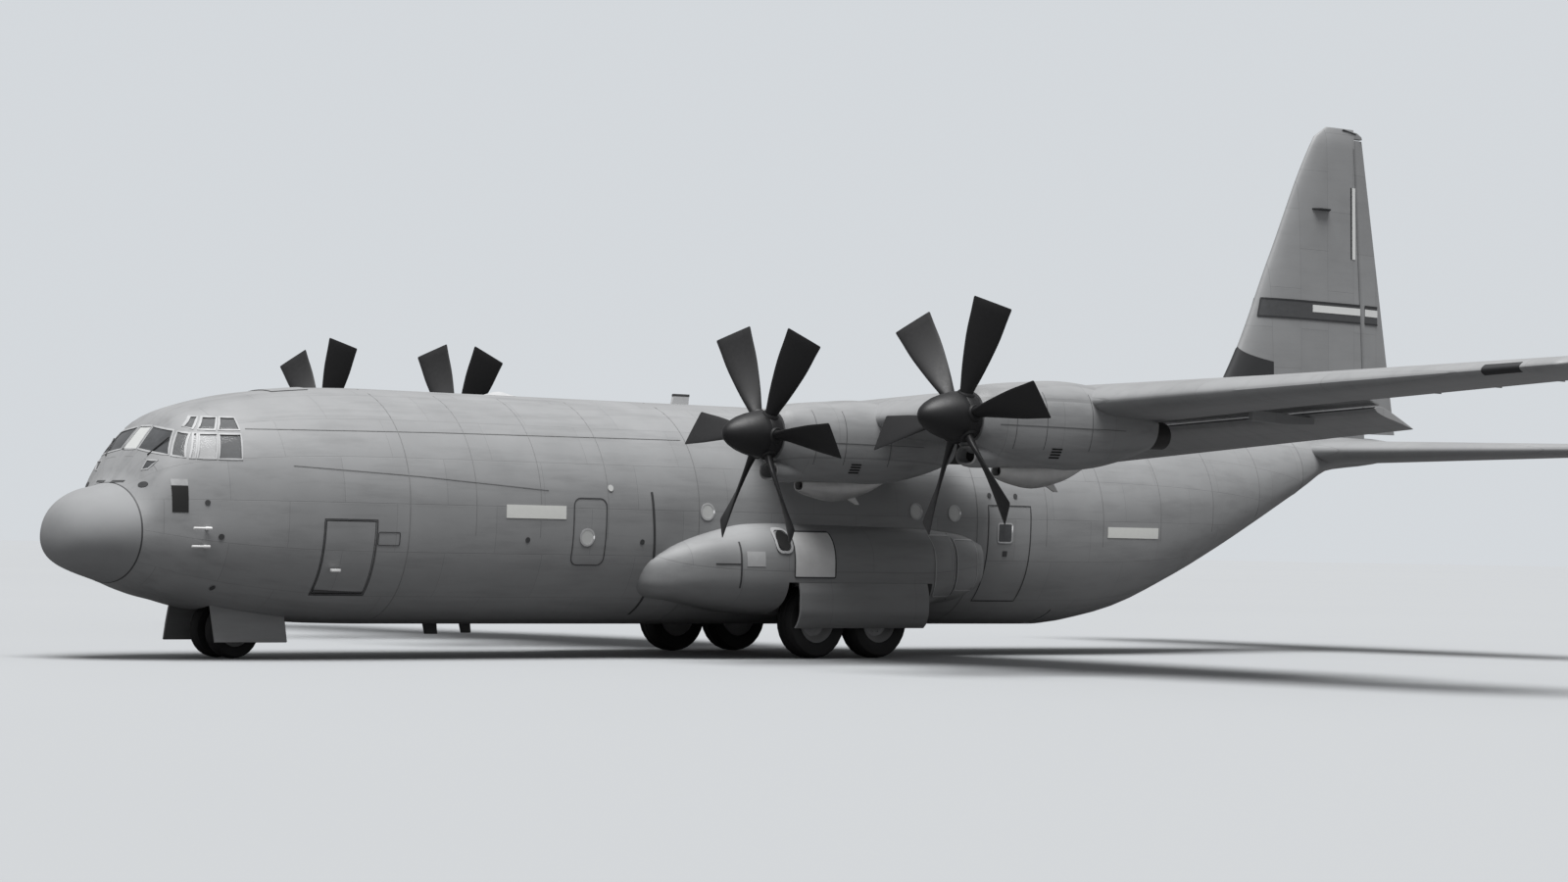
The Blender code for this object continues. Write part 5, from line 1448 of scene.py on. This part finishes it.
def build_nose_gear():
    """The steered nose leg, its twin wheels and the well's doors."""
    s = NOSE_STATION
    dress(bar("nose_housing", (0, s, 1.38), (0, s, 1.895), 0.135, 32, ((0.0, 0.12, 0.15),)), "airframe",
          "gear", "nose_leg_housing")
    leg = [bar("nose_cylinder", (0, s, 0.86), (0, s, 1.376), 0.09, 32,
               ((0.0, 0.1, 0.10), (0.8, 0.9, 0.105))),
           bar("nose_foot", (0, s, 0.42), (0, s, 0.58), 0.085, 24)]
    leg.append(prism("upper_link",
                     ((s + 0.09, 0.98), (s + 0.26, 0.78), (s + 0.23, 0.75), (s + 0.06, 0.90)), -0.035,
                     0.035, side_view, 0.008))
    leg.append(prism("lower_link",
                     ((s + 0.07, 0.50), (s + 0.26, 0.74), (s + 0.23, 0.78), (s + 0.05, 0.57)), -0.03,
                     0.03, side_view, 0.008))
    dress(join_pieces("nose_leg_casting", leg), "nose_leg", "gear", "nose_leg")
    dress(bar("nose_piston", (0, s, 0.56), (0, s, 0.90), 0.062, 32), "nose_leg", "chrome")
    axle = bar("nose_axle", (-NOSE_X, s, NOSE_RADIUS), (NOSE_X, s, NOSE_RADIUS), 0.04)
    dress(axle, "nose_wheels", "gear", "nose_wheels")
    for side, label in SIDES:
        build_wheel(f"nose_{label}", "nose_wheels", (side * NOSE_X, s, NOSE_RADIUS), (side, 0, 0),
                    NOSE_RADIUS, NOSE_WIDTH, (), False)
    first, last, half, _ = NOSE_WELL
    section = ((0.01, 0.92), (0.05, 0.95), (0.16, 0.62), (0.24, 0.30), (0.20, 0.29), (0.11, 0.60))
    door = prism("nose_gear_door_port_skin", [(half + x, z) for x, z in section], first + 0.02,
                 last - 0.02, front_view, 0.006)
    dress_both(door, "airframe", "hull", "nose_gear_door_port")


def fin_hinge(z):
    """The rudder hinge's station at a height."""
    (low_s, low_z), (high_s, high_z) = FIN_HINGE_LOW, FIN_HINGE_HIGH
    return low_s + (high_s - low_s) * (z - low_z) / (high_z - low_z)


def fin_end(z, half):
    """Where the fin stops ahead of the rudder's nose."""
    return fin_hinge(z) - 0.72 * half - RUN


fin_shape = table_curves(((4.55, 26.20, 0.16), (4.92, 27.00, 0.22), (5.45, 27.95, 0.26),
                          (6.06, 28.52, 0.27), (8.80, 29.88, 0.20), (11.55, 31.25, 0.11),
                          (11.75, 31.42, 0.085), (FIN_TOP, 31.66, 0.03)))
tail_section = curve([math.sqrt(a) for a in (0.0, 0.03, 0.14, 0.36, 0.70, 1.0)],
                     [0.0, 0.42, 0.80, 1.0, 0.92, 0.72])


def tail_ring(count, place):
    """Points round a tail surface: place takes (chord share, thickness share)."""
    shares = [1 - math.cos(math.pi / 2 * i / count) for i in range(count + 1)]
    side = [(share, tail_section(math.sqrt(share))) for share in shares[1:]]
    return ([place(0.0, 0.0)] + [place(a, b) for a, b in side]
            + [place(a, -b) for a, b in reversed(side)])


def build_fin():
    """The fin, up to its rounded tip."""
    rings = []
    for i in range(31):
        z = 4.55 + (FIN_TOP - 4.55) * i / 30
        leading, half = fin_shape(z)
        end = fin_end(z, half)
        rings.append(tail_ring(16, lambda a, b: (b * half, leading + (end - leading) * a, z)))
    dress(tube("fin_skin", rings), "airframe", "tail", "fin")


def build_rudder():
    """The rudder, round about its hinge line."""
    rings = []
    low_z, high_z = FIN_HINGE_LOW[1], FIN_HINGE_HIGH[1]
    for z, radius, trail in ((low_z + 0.03, 0.155, 34.10), (8.0, 0.116, 33.53), (high_z, 0.07, 32.86)):
        hinge = fin_hinge(z)
        ring = [(out, station, z) for station, out in nose_arc(hinge, 0.0, radius)]
        rings.append(ring + [(-0.012, trail, z), (0.012, trail, z)])
    dress(soften(tube("rudder_skin", rings), 0.006), "rudder", "tail", "rudder")


def build_tailplane():
    """The tailplane with its rounded tips."""
    rings = []
    for i in range(-16, 17):
        x = (STAB_HALF_SPAN - 0.12) * i / 16
        rings.append(stab_ring(x, 1.0, 1.0))
    for side in (-1, 1):
        for i in range(1, 5):
            turn = math.pi / 2 * i / 4
            ring = stab_ring(side * (STAB_HALF_SPAN - 0.12), 1 - 0.2 * (1 - math.cos(turn)),
                             max(math.cos(turn), 0.03))
            ring = [(side * (STAB_HALF_SPAN - 0.12 + 0.118 * math.sin(turn)), s, z) for _, s, z in ring]
            if side < 0:
                rings.insert(0, ring)
            else:
                rings.append(ring)
    dress(tube("tailplane_skin", rings), "airframe", "tail", "tailplane")


def build_elevators():
    """Both elevators, their inner corners cut clear of the rudder."""
    rings = []
    for share in (0.0, 0.5, 1.0):
        x = ELEVATOR_ROOT + RUN + (ELEVATOR_TIP - ELEVATOR_ROOT - RUN) * share
        radius, trail = 0.19 - 0.10 * share, ELEVATOR_TRAIL - ELEVATOR_TAPER * share
        ring = [(x, *point) for point in nose_arc(STAB_HINGE, STAB_Z, radius)]
        rings.append(ring + [(x, trail, STAB_Z - 0.012), (x, trail, STAB_Z + 0.012)])
    elevator = soften(tube("elevator_port_skin", rings), 0.006)
    cut(elevator,
        prism("elevator_corner", ((0.2, 33.16), (0.2, 34.5), (0.80, 34.5)), 4.1, 4.8, plan_view))
    dress_both(elevator, "elevators", "tail", "elevator_port")


def stab_ring(x, narrow, thin):
    """The tailplane's section; narrow and thin shrink it at the tip."""
    share = abs(x) / STAB_HALF_SPAN
    leading = 30.42 + 1.46 * share
    half = 0.27 - 0.15 * share
    end = STAB_HINGE - 0.75 * half - RUN
    leading = end - (end - leading) * narrow
    return tail_ring(14, lambda a, b: (x, leading + (end - leading) * a, STAB_Z + b * half * thin))


def on_fin(side, lift=0.0):
    """Place (station, z) on one side of the fin."""
    def place(station, z):
        leading, half = fin_shape(z)
        end = fin_end(z, half)
        share = min(max((station - leading) / (end - leading), 0.0), 1.0)
        return at(side * (tail_section(math.sqrt(share)) * half + lift), station, z)
    return place


def on_rudder(side, lift=0.0):
    """Place (station, z) on one side of the rudder."""
    low, high = FIN_HINGE_LOW[1] + 0.03, FIN_HINGE_HIGH[1]

    def place(station, z):
        share = (z - low) / (high - low)
        radius, trail, hinge = 0.155 - 0.085 * share, 34.10 - 1.24 * share, fin_hinge(z)
        back = min(max((station - hinge) / (trail - hinge), 0.0), 1.0)
        return at(side * (radius + (0.012 - radius) * back + lift), station, z)
    return place


def root_patch_point(side, u, v):
    """A point of the dark patch at the fin's root: u runs aft from the leading edge, v upwards."""
    low, high = 6.02 + 0.08 * u, 6.72 - 0.30 * u
    z = low + (high - low) * v
    leading = fin_shape(z)[0]
    place = on_fin(side, 0.010 * min(1.0, 6 * u))
    return place(leading + (29.79 - leading) * u * u, z) - Vector((0, 0.003, 0))


def dress_tail():
    """The tail band, night light strips, root patch and small fittings of the fin."""
    low, high, first, last = 7.43, 7.83, 29.39, 33.42
    hinge = fin_hinge((low + high) / 2)
    ahead, behind = hinge - 0.20, hinge + 0.02
    for side, label in SIDES:
        for part, body, place_on, start_at, end_at in (("fin", "airframe", on_fin, first, ahead),
                                                       ("rudder", "rudder", on_rudder, behind, last)):
            slant = 0.12 if part == "fin" else 0.0
            patch(f"tail_band_{part}_{label}", ((start_at, low), (end_at, low), (end_at, high),
                                                (start_at + slant, high)),
                  place_on(side, 0.010), "tail_band", body, 28, 4)
            white = max(start_at, 31.05)
            patch(f"tail_stripe_{part}_{label}", box_outline(white, 7.60, end_at, 7.76),
                  place_on(side, 0.015), "tail_light_strip", body, 16, 2)
            for count, z in enumerate((low, high)):
                shift = slant if z == high else 0.0
                line(f"tail_band_edge_{part}_{count}_{label}", ((start_at + shift, z), (end_at, z)),
                     place_on(side, 0.016), 0.035, "boot", body)
        line(f"tail_band_end_{label}", ((first, low), (first + 0.12, high)), on_fin(side, 0.016), 0.03,
             "boot")
        patch(f"fin_night_strip_{label}", box_outline(32.43, 8.87, 32.54, 10.5),
              on_fin(side, 0.010), "tail_light_strip", along=10)
        line(f"fin_night_strip_edge_{label}", ((32.40, 8.87), (32.40, 10.5)), on_fin(side, 0.008),
             0.035, "boot")
        root = grid(f"root_patch_{label}", 24, 10, lambda u, v, side=side: root_patch_point(side, u, v),
                    0.004)
        dress(root, "airframe", "boot")
        line(f"fin_seam_{label}", ((30.10, 4.98), (30.10, 6.10)), on_fin(side, 0.004), 0.014,
             "tail_seam")
        line(f"fin_hinge_seam_{label}", ((fin_hinge(5.0) - 0.24, 5.0), (fin_hinge(11.4) - 0.13, 11.4)),
             on_fin(side, 0.004), 0.016, "tail_seam")
        x = fin_shape(9.93)[1] * 0.95
        blade = prism(f"fin_blade_{label}_plate",
                      ((side * (x - 0.03), 31.03), (side * (x - 0.03), 31.67),
                       (side * (x + 0.14), 31.55), (side * (x + 0.14), 31.20)), 9.91, 9.95, plan_view,
                      0.01)
        dress(blade, "airframe", "boot")
    for count, z in enumerate((5.6, 7.0, 8.6, 10.2)):
        s = fin_hinge(z)
        dress(block(f"rudder_hinge_{count}", (-0.05, s - 0.21, z - 0.04), (0.05, s - 0.05, z + 0.04),
                    0.01), "airframe", "tail")
    cap = prism("fin_tip_cap",
                ((32.28, 11.625), (32.84, 11.625), (32.82, 11.70), (32.66, 11.78), (32.28, 11.82)),
                -0.055, 0.055, side_view, 0.02)
    dress(cap, "airframe", "tail")
    notch = prism("fin_tip_notch", ((32.16, 11.80), (32.62, 11.72), (32.62, 11.76), (32.20, 11.828)),
                  -0.06, 0.06, side_view, 0.005)
    dress(notch, "airframe", "boot")


def dress_hull():
    """Hatches, seams, lights, vents, round windows and sensors on the fuselage's sides."""
    for side, label in SIDES:
        place, raised = on_side(side, LIFT), on_side(side, 0.012)
        # The vent is a black patch: painted shade in its opening.
        patch(f"nose_vent_{label}", box_outline(1.55, 2.525, 1.80, 2.97), place, "shade_painted_hole")
        patch(f"nose_vent_cap_{label}", box_outline(1.55, 2.98, 1.80, 3.09), place, "window_frame")
        outline(f"nose_hatch_{label}", rounded_box(5.27, 2.02, 5.71, 2.25, 0.03), place, 0.014)
        outline(f"escape_hatch_{label}", rounded_box(9.43, 1.72, 10.16, 2.94, 0.14), place, 0.02)
        for name, station, z in (("hatch", 9.74, 2.23), ("fore", 12.49, 2.75), ("rear", 17.67, 2.86),
                                 ("tail", 18.68, 2.84)):
            # Round windows in opaque bright glass: a painted glint.
            disc(f"round_window_{name}_{label}", station, z, 0.135, place, "bright_glass")
            outline(f"round_rim_{name}_{label}", circle(station, z, 0.15), raised, 0.035, "pale")
        for count, (station, z) in enumerate(((8.43, 2.16), (11.0, 2.16))):
            disc(f"static_port_{count}_{label}", station, z, 0.05, place, "line")
        # The ice light's lens is painted bright, as a glint.
        disc(f"ice_light_{label}", 10.26, 3.14, 0.06, raised, "bright_glass")
        line(f"propeller_line_{label}", ((11.20, 3.09), (11.36, 1.30), (11.38, 0.80)), place, 0.05)
        patch(f"night_strip_front_{label}", box_outline(7.94, 2.55, 9.25, 2.79), place,
              "light_strip", across=12)
        patch(f"night_strip_rear_{label}", box_outline(22.93, 2.42, 24.51, 2.64), place,
              "light_strip", across=12)
        line(f"crease_front_{label}", ((3.65, 3.37), (6.15, 3.25), (8.87, 3.07)), place, 0.012,
             "soft_line")
        line(f"crown_seam_{label}", ((2.95, 3.99), (6.82, 4.05), (12.2, 4.09)), place, 0.012,
             "soft_line")
        for count, station in enumerate((5.90, 12.30, 19.30, 30.0)):
            top, bottom = hull_section(station)[:2]
            route = [(station, bottom + 0.02 + (top - bottom - 0.04) * i / 40) for i in range(41)]
            line(f"barrel_seam_{count}_{label}", route, on_side(side, 0.004), 0.014, "soft_line")
        for count, station in enumerate((7.3, 8.7, 10.2, 21.2, 22.8, 24.6, 26.4, 28.2)):
            top, _, _, middle, _, _ = hull_section(station)
            route = [(station, middle - 0.5 + (top - middle + 0.40) * i / 24) for i in range(25)]
            line(f"frame_seam_{count}_{label}", route, on_side(side, 0.003), 0.009, "soft_line")
        for count, (station, z) in enumerate(((2.09, 2.26), (2.09, 1.95))):
            out = hull_out(station, z)
            mast = bar("mast", (side * (out - 0.02), station, z),
                       (side * (out + 0.10), station - 0.02, z), 0.028, 12)
            probe = bar("probe", (side * (out + 0.09), station + 0.05, z),
                        (side * (out + 0.10), station - 0.30, z), 0.02, 16, ((0.0, 0.35, 0.026),))
            dress(join_pieces(f"pitot_{count}_{label}", [mast, probe]), "airframe", "bright")
        for count, (station, z, radius) in enumerate(((2.10, 2.70, 0.045), (2.34, 2.12, 0.05),
                                                      (2.47, 1.24, 0.04))):
            disc(f"sensor_{count}_{label}", station, z, radius, raised, "line")
        wiper = [bar("arm",
                     tuple(on_front(0.02)(side * 0.74, 3.50) / SCALE + Vector((0, MID_STATION, 0))),
                     tuple(on_front(0.03)(side * 0.97, 3.81) / SCALE + Vector((0, MID_STATION, 0))),
                     0.012, 8)]
        dress(join_pieces(f"wiper_{label}", wiper), "airframe", "boot_dark")
        disc(f"nose_knob_{label}", side * 0.99, 2.99, 0.11, on_front(0.01), "line", flat=0.45)
        patch(f"nose_strake_{label}", box_outline(side * 0.12, 3.02, side * 0.49, 3.06), on_front(0.01),
              "line")


def dress_crown():
    """Antennas, hatch, fairings and beacon along the fuselage's top and bottom."""
    for name, station, length, low, high, finish_name in (
            ("crown_antenna_blade", 13.20, 0.42, 4.78, 5.04, "pale"),
            ("belly_antenna_front_blade", 7.60, 0.30, 0.65, 0.38, "line"),
            ("belly_antenna_rear_blade", 8.40, 0.24, 0.65, 0.40, "line")):
        tip = high - 0.04 if high > low else high + 0.03
        blade = prism(name, ((station, low), (station + length, low), (station + length + 0.025, tip),
                             (station + 0.06, tip)), -0.028, 0.028, side_view, 0.012)
        dress(blade, "airframe", finish_name)
        if high > low:
            cap = prism("crown_antenna_cap",
                        ((station + 0.05, tip - 0.01), (station + length + 0.028, tip - 0.01),
                         (station + length + 0.03, high), (station + 0.06, high)), -0.031, 0.031,
                        side_view, 0.01)
            dress(cap, "airframe", "line")
    hatch = grid("crown_hatch_lid", 20, 20,
                 lambda u, v: on_crown(0.45 * (2 * u - 1), 4.05 + 0.75 * v, 0.012), 0.01)
    dress(hatch, "airframe", "hull")
    for count, station in enumerate((8.9, 16.2, 21.4)):
        bump = grid(f"crown_fairing_{count}", 16, 16,
                    lambda u, v, s=station: fairing_point(u, v, s))
        dress(bump, "airframe", "pale")
    # The beacon's lens is painted bright, as a glint.
    beacon = lathe("beacon_lens", ((0.0, 0.12), (0.05, 0.11), (0.085, 0.07), (0.09, 0.0), (0.0, 0.0)),
                   (0.0, 19.9, 4.835), (0, 0, 1), 24)
    dress(beacon, "airframe", "bright_glass")


def on_crown(x, station, lift):
    """A point of the fuselage's upper skin at a distance out."""
    top, _, half, middle, power, _ = hull_section(station)
    share = min(abs(x) / half, 1.0)
    return at(x, station, middle + (top - middle) * bulge(share, power) + lift)


def fairing_point(u, v, station):
    """A point of a low domed fairing along the crown."""
    rise = 0.07 * math.sin(math.pi * u) * math.sin(math.pi * v) + 0.002
    return on_crown(0.22 * (2 * u - 1), station + 0.55 * v, rise)


def shroud_point(u, v, first, last):
    """A point of the thin panel that carries the wing's upper skin back and down over a flap."""
    x = first + (last - first) * u
    x, station, z = wing_skin_point(x, WING_CUT - 0.01 + 0.28 * v, 1, -0.014 - 0.10 * v * v)
    return at(x, station + 0.24 * v ** 3, z)


def dress_wing():
    """Flap shrouds, rubber boots on the outer leading edges, and the discharge wicks."""
    for name, first, last in (("inner", FLAP_ROOT - 0.2, WING_BREAK), ("outer", WING_BREAK, FLAP_TIP)):
        shroud = grid(f"flap_shroud_{name}_port", 16, 5,
                      lambda u, v, a=first, b=last: shroud_point(u, v, a, b), 0.026)
        dress_both(shroud, "airframe", "wing")
    shares = (0.035, 0.022, 0.012, 0.005, 0.0012, 0.0)
    rings = []
    for step in range(13):
        x = 18.70 + 0.70 * step / 12
        top = [wing_skin_point(x, share, 1, 0.005) for share in shares]
        under = [wing_skin_point(x, share, -1, 0.005) for share in reversed(shares[:-1])]
        rings.append([(a, s - (0.004 if share_s < 0.006 else 0.0), z) for (a, s, z), share_s in
                      zip(top + under, shares + tuple(reversed(shares[:-1])))])
    boot = grid("wing_boot_port", 12, len(rings[0]) - 1,
                lambda u, v: at(*rings[round(u * 12)][round(v * (len(rings[0]) - 1))]), 0.004)
    dress_both(boot, "airframe", "wing_boot")
    on_aileron = [(x, *chord_line(x)[1:3]) for x in (15.2, 16.6, 18.0, 19.2)]
    on_elevator = [(x, ELEVATOR_TRAIL - ELEVATOR_TAPER * x / ELEVATOR_TIP, STAB_Z)
                   for x in (5.2, 6.4, 7.5)]
    for name, body, spots in (("aileron_wicks_port", "aileron_port", on_aileron),
                              ("elevator_wicks_port", "elevators", on_elevator)):
        wicks = [bar("wick", (x, s - 0.02, z), (x, s + 0.20, z), 0.010, 6) for x, s, z in spots]
        dress_both(join_pieces(name, wicks), body, "boot")


def on_nacelle(position, lift=0.0):
    """Place (station, z) on a port nacelle's outboard side."""
    x, _, middle = ENGINES[position]
    section = table_curves(nacelle_rows(position))

    def place(station, z):
        _, half, up, down = section(station)
        share = min(abs(z - middle) / (up if z > middle else down), 1.0)
        return at(x + half * bulge(share, NACELLE_POWER) + lift, station, z)
    return place


def dress_nacelle(position):
    """Louvres, cowl seams and lips of a port nacelle, and the same on its twin."""
    x, hub, z = ENGINES[position]
    aft = hub - ENGINE_DATUM
    place = on_nacelle(position, 0.006)
    low = z - 0.66
    made = []
    # Louvre slots are black sheets: painted shade in the slots.
    for count in range(4):
        level = low + 0.048 * count
        made.append((sheet(f"louvre_{position}_{count}_port",
                           box_outline(13.19 + aft, level, 13.42 + aft, level + 0.026), place, 4, 1),
                     "shade_painted_duct"))
    for count, station in enumerate((12.34, 13.00, 14.05)):
        route = [(station + aft, z - 0.52 + 0.98 * i / 14) for i in range(15)]
        made.append((strip(f"cowl_seam_{position}_{count}_port", route, on_nacelle(position, 0.003),
                           0.012), "nacelle_seam"))
    made.append((strip(f"cowl_split_{position}_port", ((12.0 + aft, z - 0.12), (14.9 + aft, z - 0.14)),
                       on_nacelle(position, 0.003), 0.012), "nacelle_seam"))
    lip = [oval(x, 11.78 + aft, z - 0.655, 0.262, 0.182, 0.165, INTAKE_POWER),
           oval(x, 11.695 + aft, z - 0.66, 0.252, 0.172, 0.152, INTAKE_POWER),
           oval(x, 11.69 + aft, z - 0.66, 0.232, 0.152, 0.132, INTAKE_POWER),
           oval(x, 11.76 + aft, z - 0.66, 0.218, 0.138, 0.118, INTAKE_POWER)]
    made.append((tube(f"intake_lip_{position}_port", lip, closed=False), "scoop"))
    fin = prism(f"drain_fin_{position}_port",
                ((13.50 + aft, z - 1.10), (13.70 + aft, z - 1.04), (13.84 + aft, z - 1.22),
                 (13.74 + aft, z - 1.22)), x - 0.015, x + 0.015, side_view, 0.006)
    made.append((fin, "scoop"))
    for piece, finish_name in made:
        dress_both(piece, "airframe", finish_name)


def build_hold():
    """Hoops of the hold's wall, its floor tracks and its tie-down rings."""
    hoops = []
    for count in range(16):
        station = 6.4 + 1.0 * count
        if WELL_STATIONS[0] - 0.3 < station < WELL_STATIONS[1] + 0.3:
            continue
        rings = [hull_ring(station, 0.052), hull_ring(station, 0.105), hull_ring(station + 0.05, 0.105),
                 hull_ring(station + 0.05, 0.052)]
        hoops.append(tube("hoop", [ring[::2] for ring in rings + rings[:1]], closed=False))
    dress(join_pieces("hold_hoops", hoops), "airframe", "liner")
    tracks = [block("track", (x - 0.05, 4.5, FLOOR_TOP + 0.001), (x + 0.05, 21.9, FLOOR_TOP + 0.014),
                    0.004) for x in (-1.05, -0.35, 0.35, 1.05)]
    rings = []
    for row in range(8):
        for x in (-0.7, 0.0, 0.7):
            ring = lathe("ring",
                         ((0.04, 0.0), (0.055, 0.008), (0.04, 0.016), (0.03, 0.008), (0.04, 0.0)),
                         (x, 6.5 + 2.0 * row, FLOOR_TOP + 0.002), (0, 0, 1), 12)
            rings.append(ring)
    dress(join_pieces("floor_tracks", tracks + rings), "airframe", "gear_floor")


def finish_cad_nodes():
    """Better materials for the nodes that stay."""
    for names, finish_name in ((("cargo_floor", "flight_deck_floor", "flight_deck_bulkhead"), "floor"),
                               (("instrument_panel",), "panel")):
        for name in names:
            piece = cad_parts[name]
            piece.data.materials.clear()
            piece.data.materials.append(finishes[finish_name][0])


def seen_or_lighting(tree, seen, lighting):
    """A colour that the camera sees, and another one that lights the rest."""
    path = tree.nodes.new("ShaderNodeLightPath")
    return mix_colours(tree, path.outputs["Is Camera Ray"], lighting, seen)


def build_stage():
    """Pale floor, soft light from above and the photograph's camera."""
    bpy.context.scene.view_settings.view_transform = "Standard"
    floor = start("studio_floor", bpy.ops.mesh.primitive_plane_add, size=900)
    material, tree, shader, place = empty_material("studio_floor_pale")
    noise = node(tree, "ShaderNodeTexNoise", {"Vector": place, "Scale": 0.05})
    tone = mix_colours(tree, noise.outputs[0], (0.375, 0.387, 0.398, 1), (0.395, 0.407, 0.418, 1))
    tree.links.new(seen_or_lighting(tree, tone, (0.12, 0.12, 0.122, 1)), shader.inputs["Base Color"])
    shader.inputs["Roughness"].default_value = 0.9
    floor.data.materials.append(material)

    world = bpy.data.worlds.new("studio")
    bpy.context.scene.world = world
    world.use_nodes = True
    sky = seen_or_lighting(world.node_tree, (0.66, 0.69, 0.72, 1), (0.31, 0.312, 0.318, 1))
    world.node_tree.links.new(sky, world.node_tree.nodes["Background"].inputs["Color"])
    key = bpy.data.objects.new("sky_key", bpy.data.lights.new("sky_key", "SUN"))
    key.data.energy = 4.5
    key.data.angle = math.radians(45)
    key.rotation_euler = Vector((0.19, -0.14, 0.97)).to_track_quat("Z", "Y").to_euler()
    bpy.context.scene.collection.objects.link(key)

    camera = bpy.data.objects.new("photo_camera", bpy.data.cameras.new("photo_camera"))
    bpy.context.scene.collection.objects.link(camera)
    yaw, pitch, roll = 2.461544, 0.0297268, 0.0175536
    focal_pixels, photo_width = 3630.31, 1600
    forward = Vector((math.cos(pitch) * math.cos(yaw), math.cos(pitch) * math.sin(yaw),
                      math.sin(pitch)))
    right = forward.cross(Vector((0, 0, 1))).normalized()
    up = right.cross(forward)
    across = math.cos(roll) * right + math.sin(roll) * up
    upward = math.cos(roll) * up - math.sin(roll) * right
    turn = Matrix((across, upward, -forward)).transposed().to_4x4()
    camera.matrix_world = Matrix.Translation(at(*CAMERA_AT)) @ turn
    camera.data.sensor_width = 36
    camera.data.lens = 36 * focal_pixels / photo_width
    camera.data.clip_end = 2000
    bpy.context.scene.camera = camera


build_nose()
build_barrels()
build_crew_door()
build_jump_doors()
build_ramp()
build_cargo_door()
build_wing()
for engine in ENGINES:
    build_engine(engine)
    for plane_side, plane_label in SIDES:
        build_propeller(engine, plane_side, plane_label)
    dress_nacelle(engine)
build_sponson()
dress_sponson()
build_main_gear()
build_nose_gear()
build_fin()
build_rudder()
build_tailplane()
build_elevators()
dress_tail()
dress_hull()
dress_crown()
dress_wing()
build_flight_deck()
build_hold()
finish_cad_nodes()
build_stage()
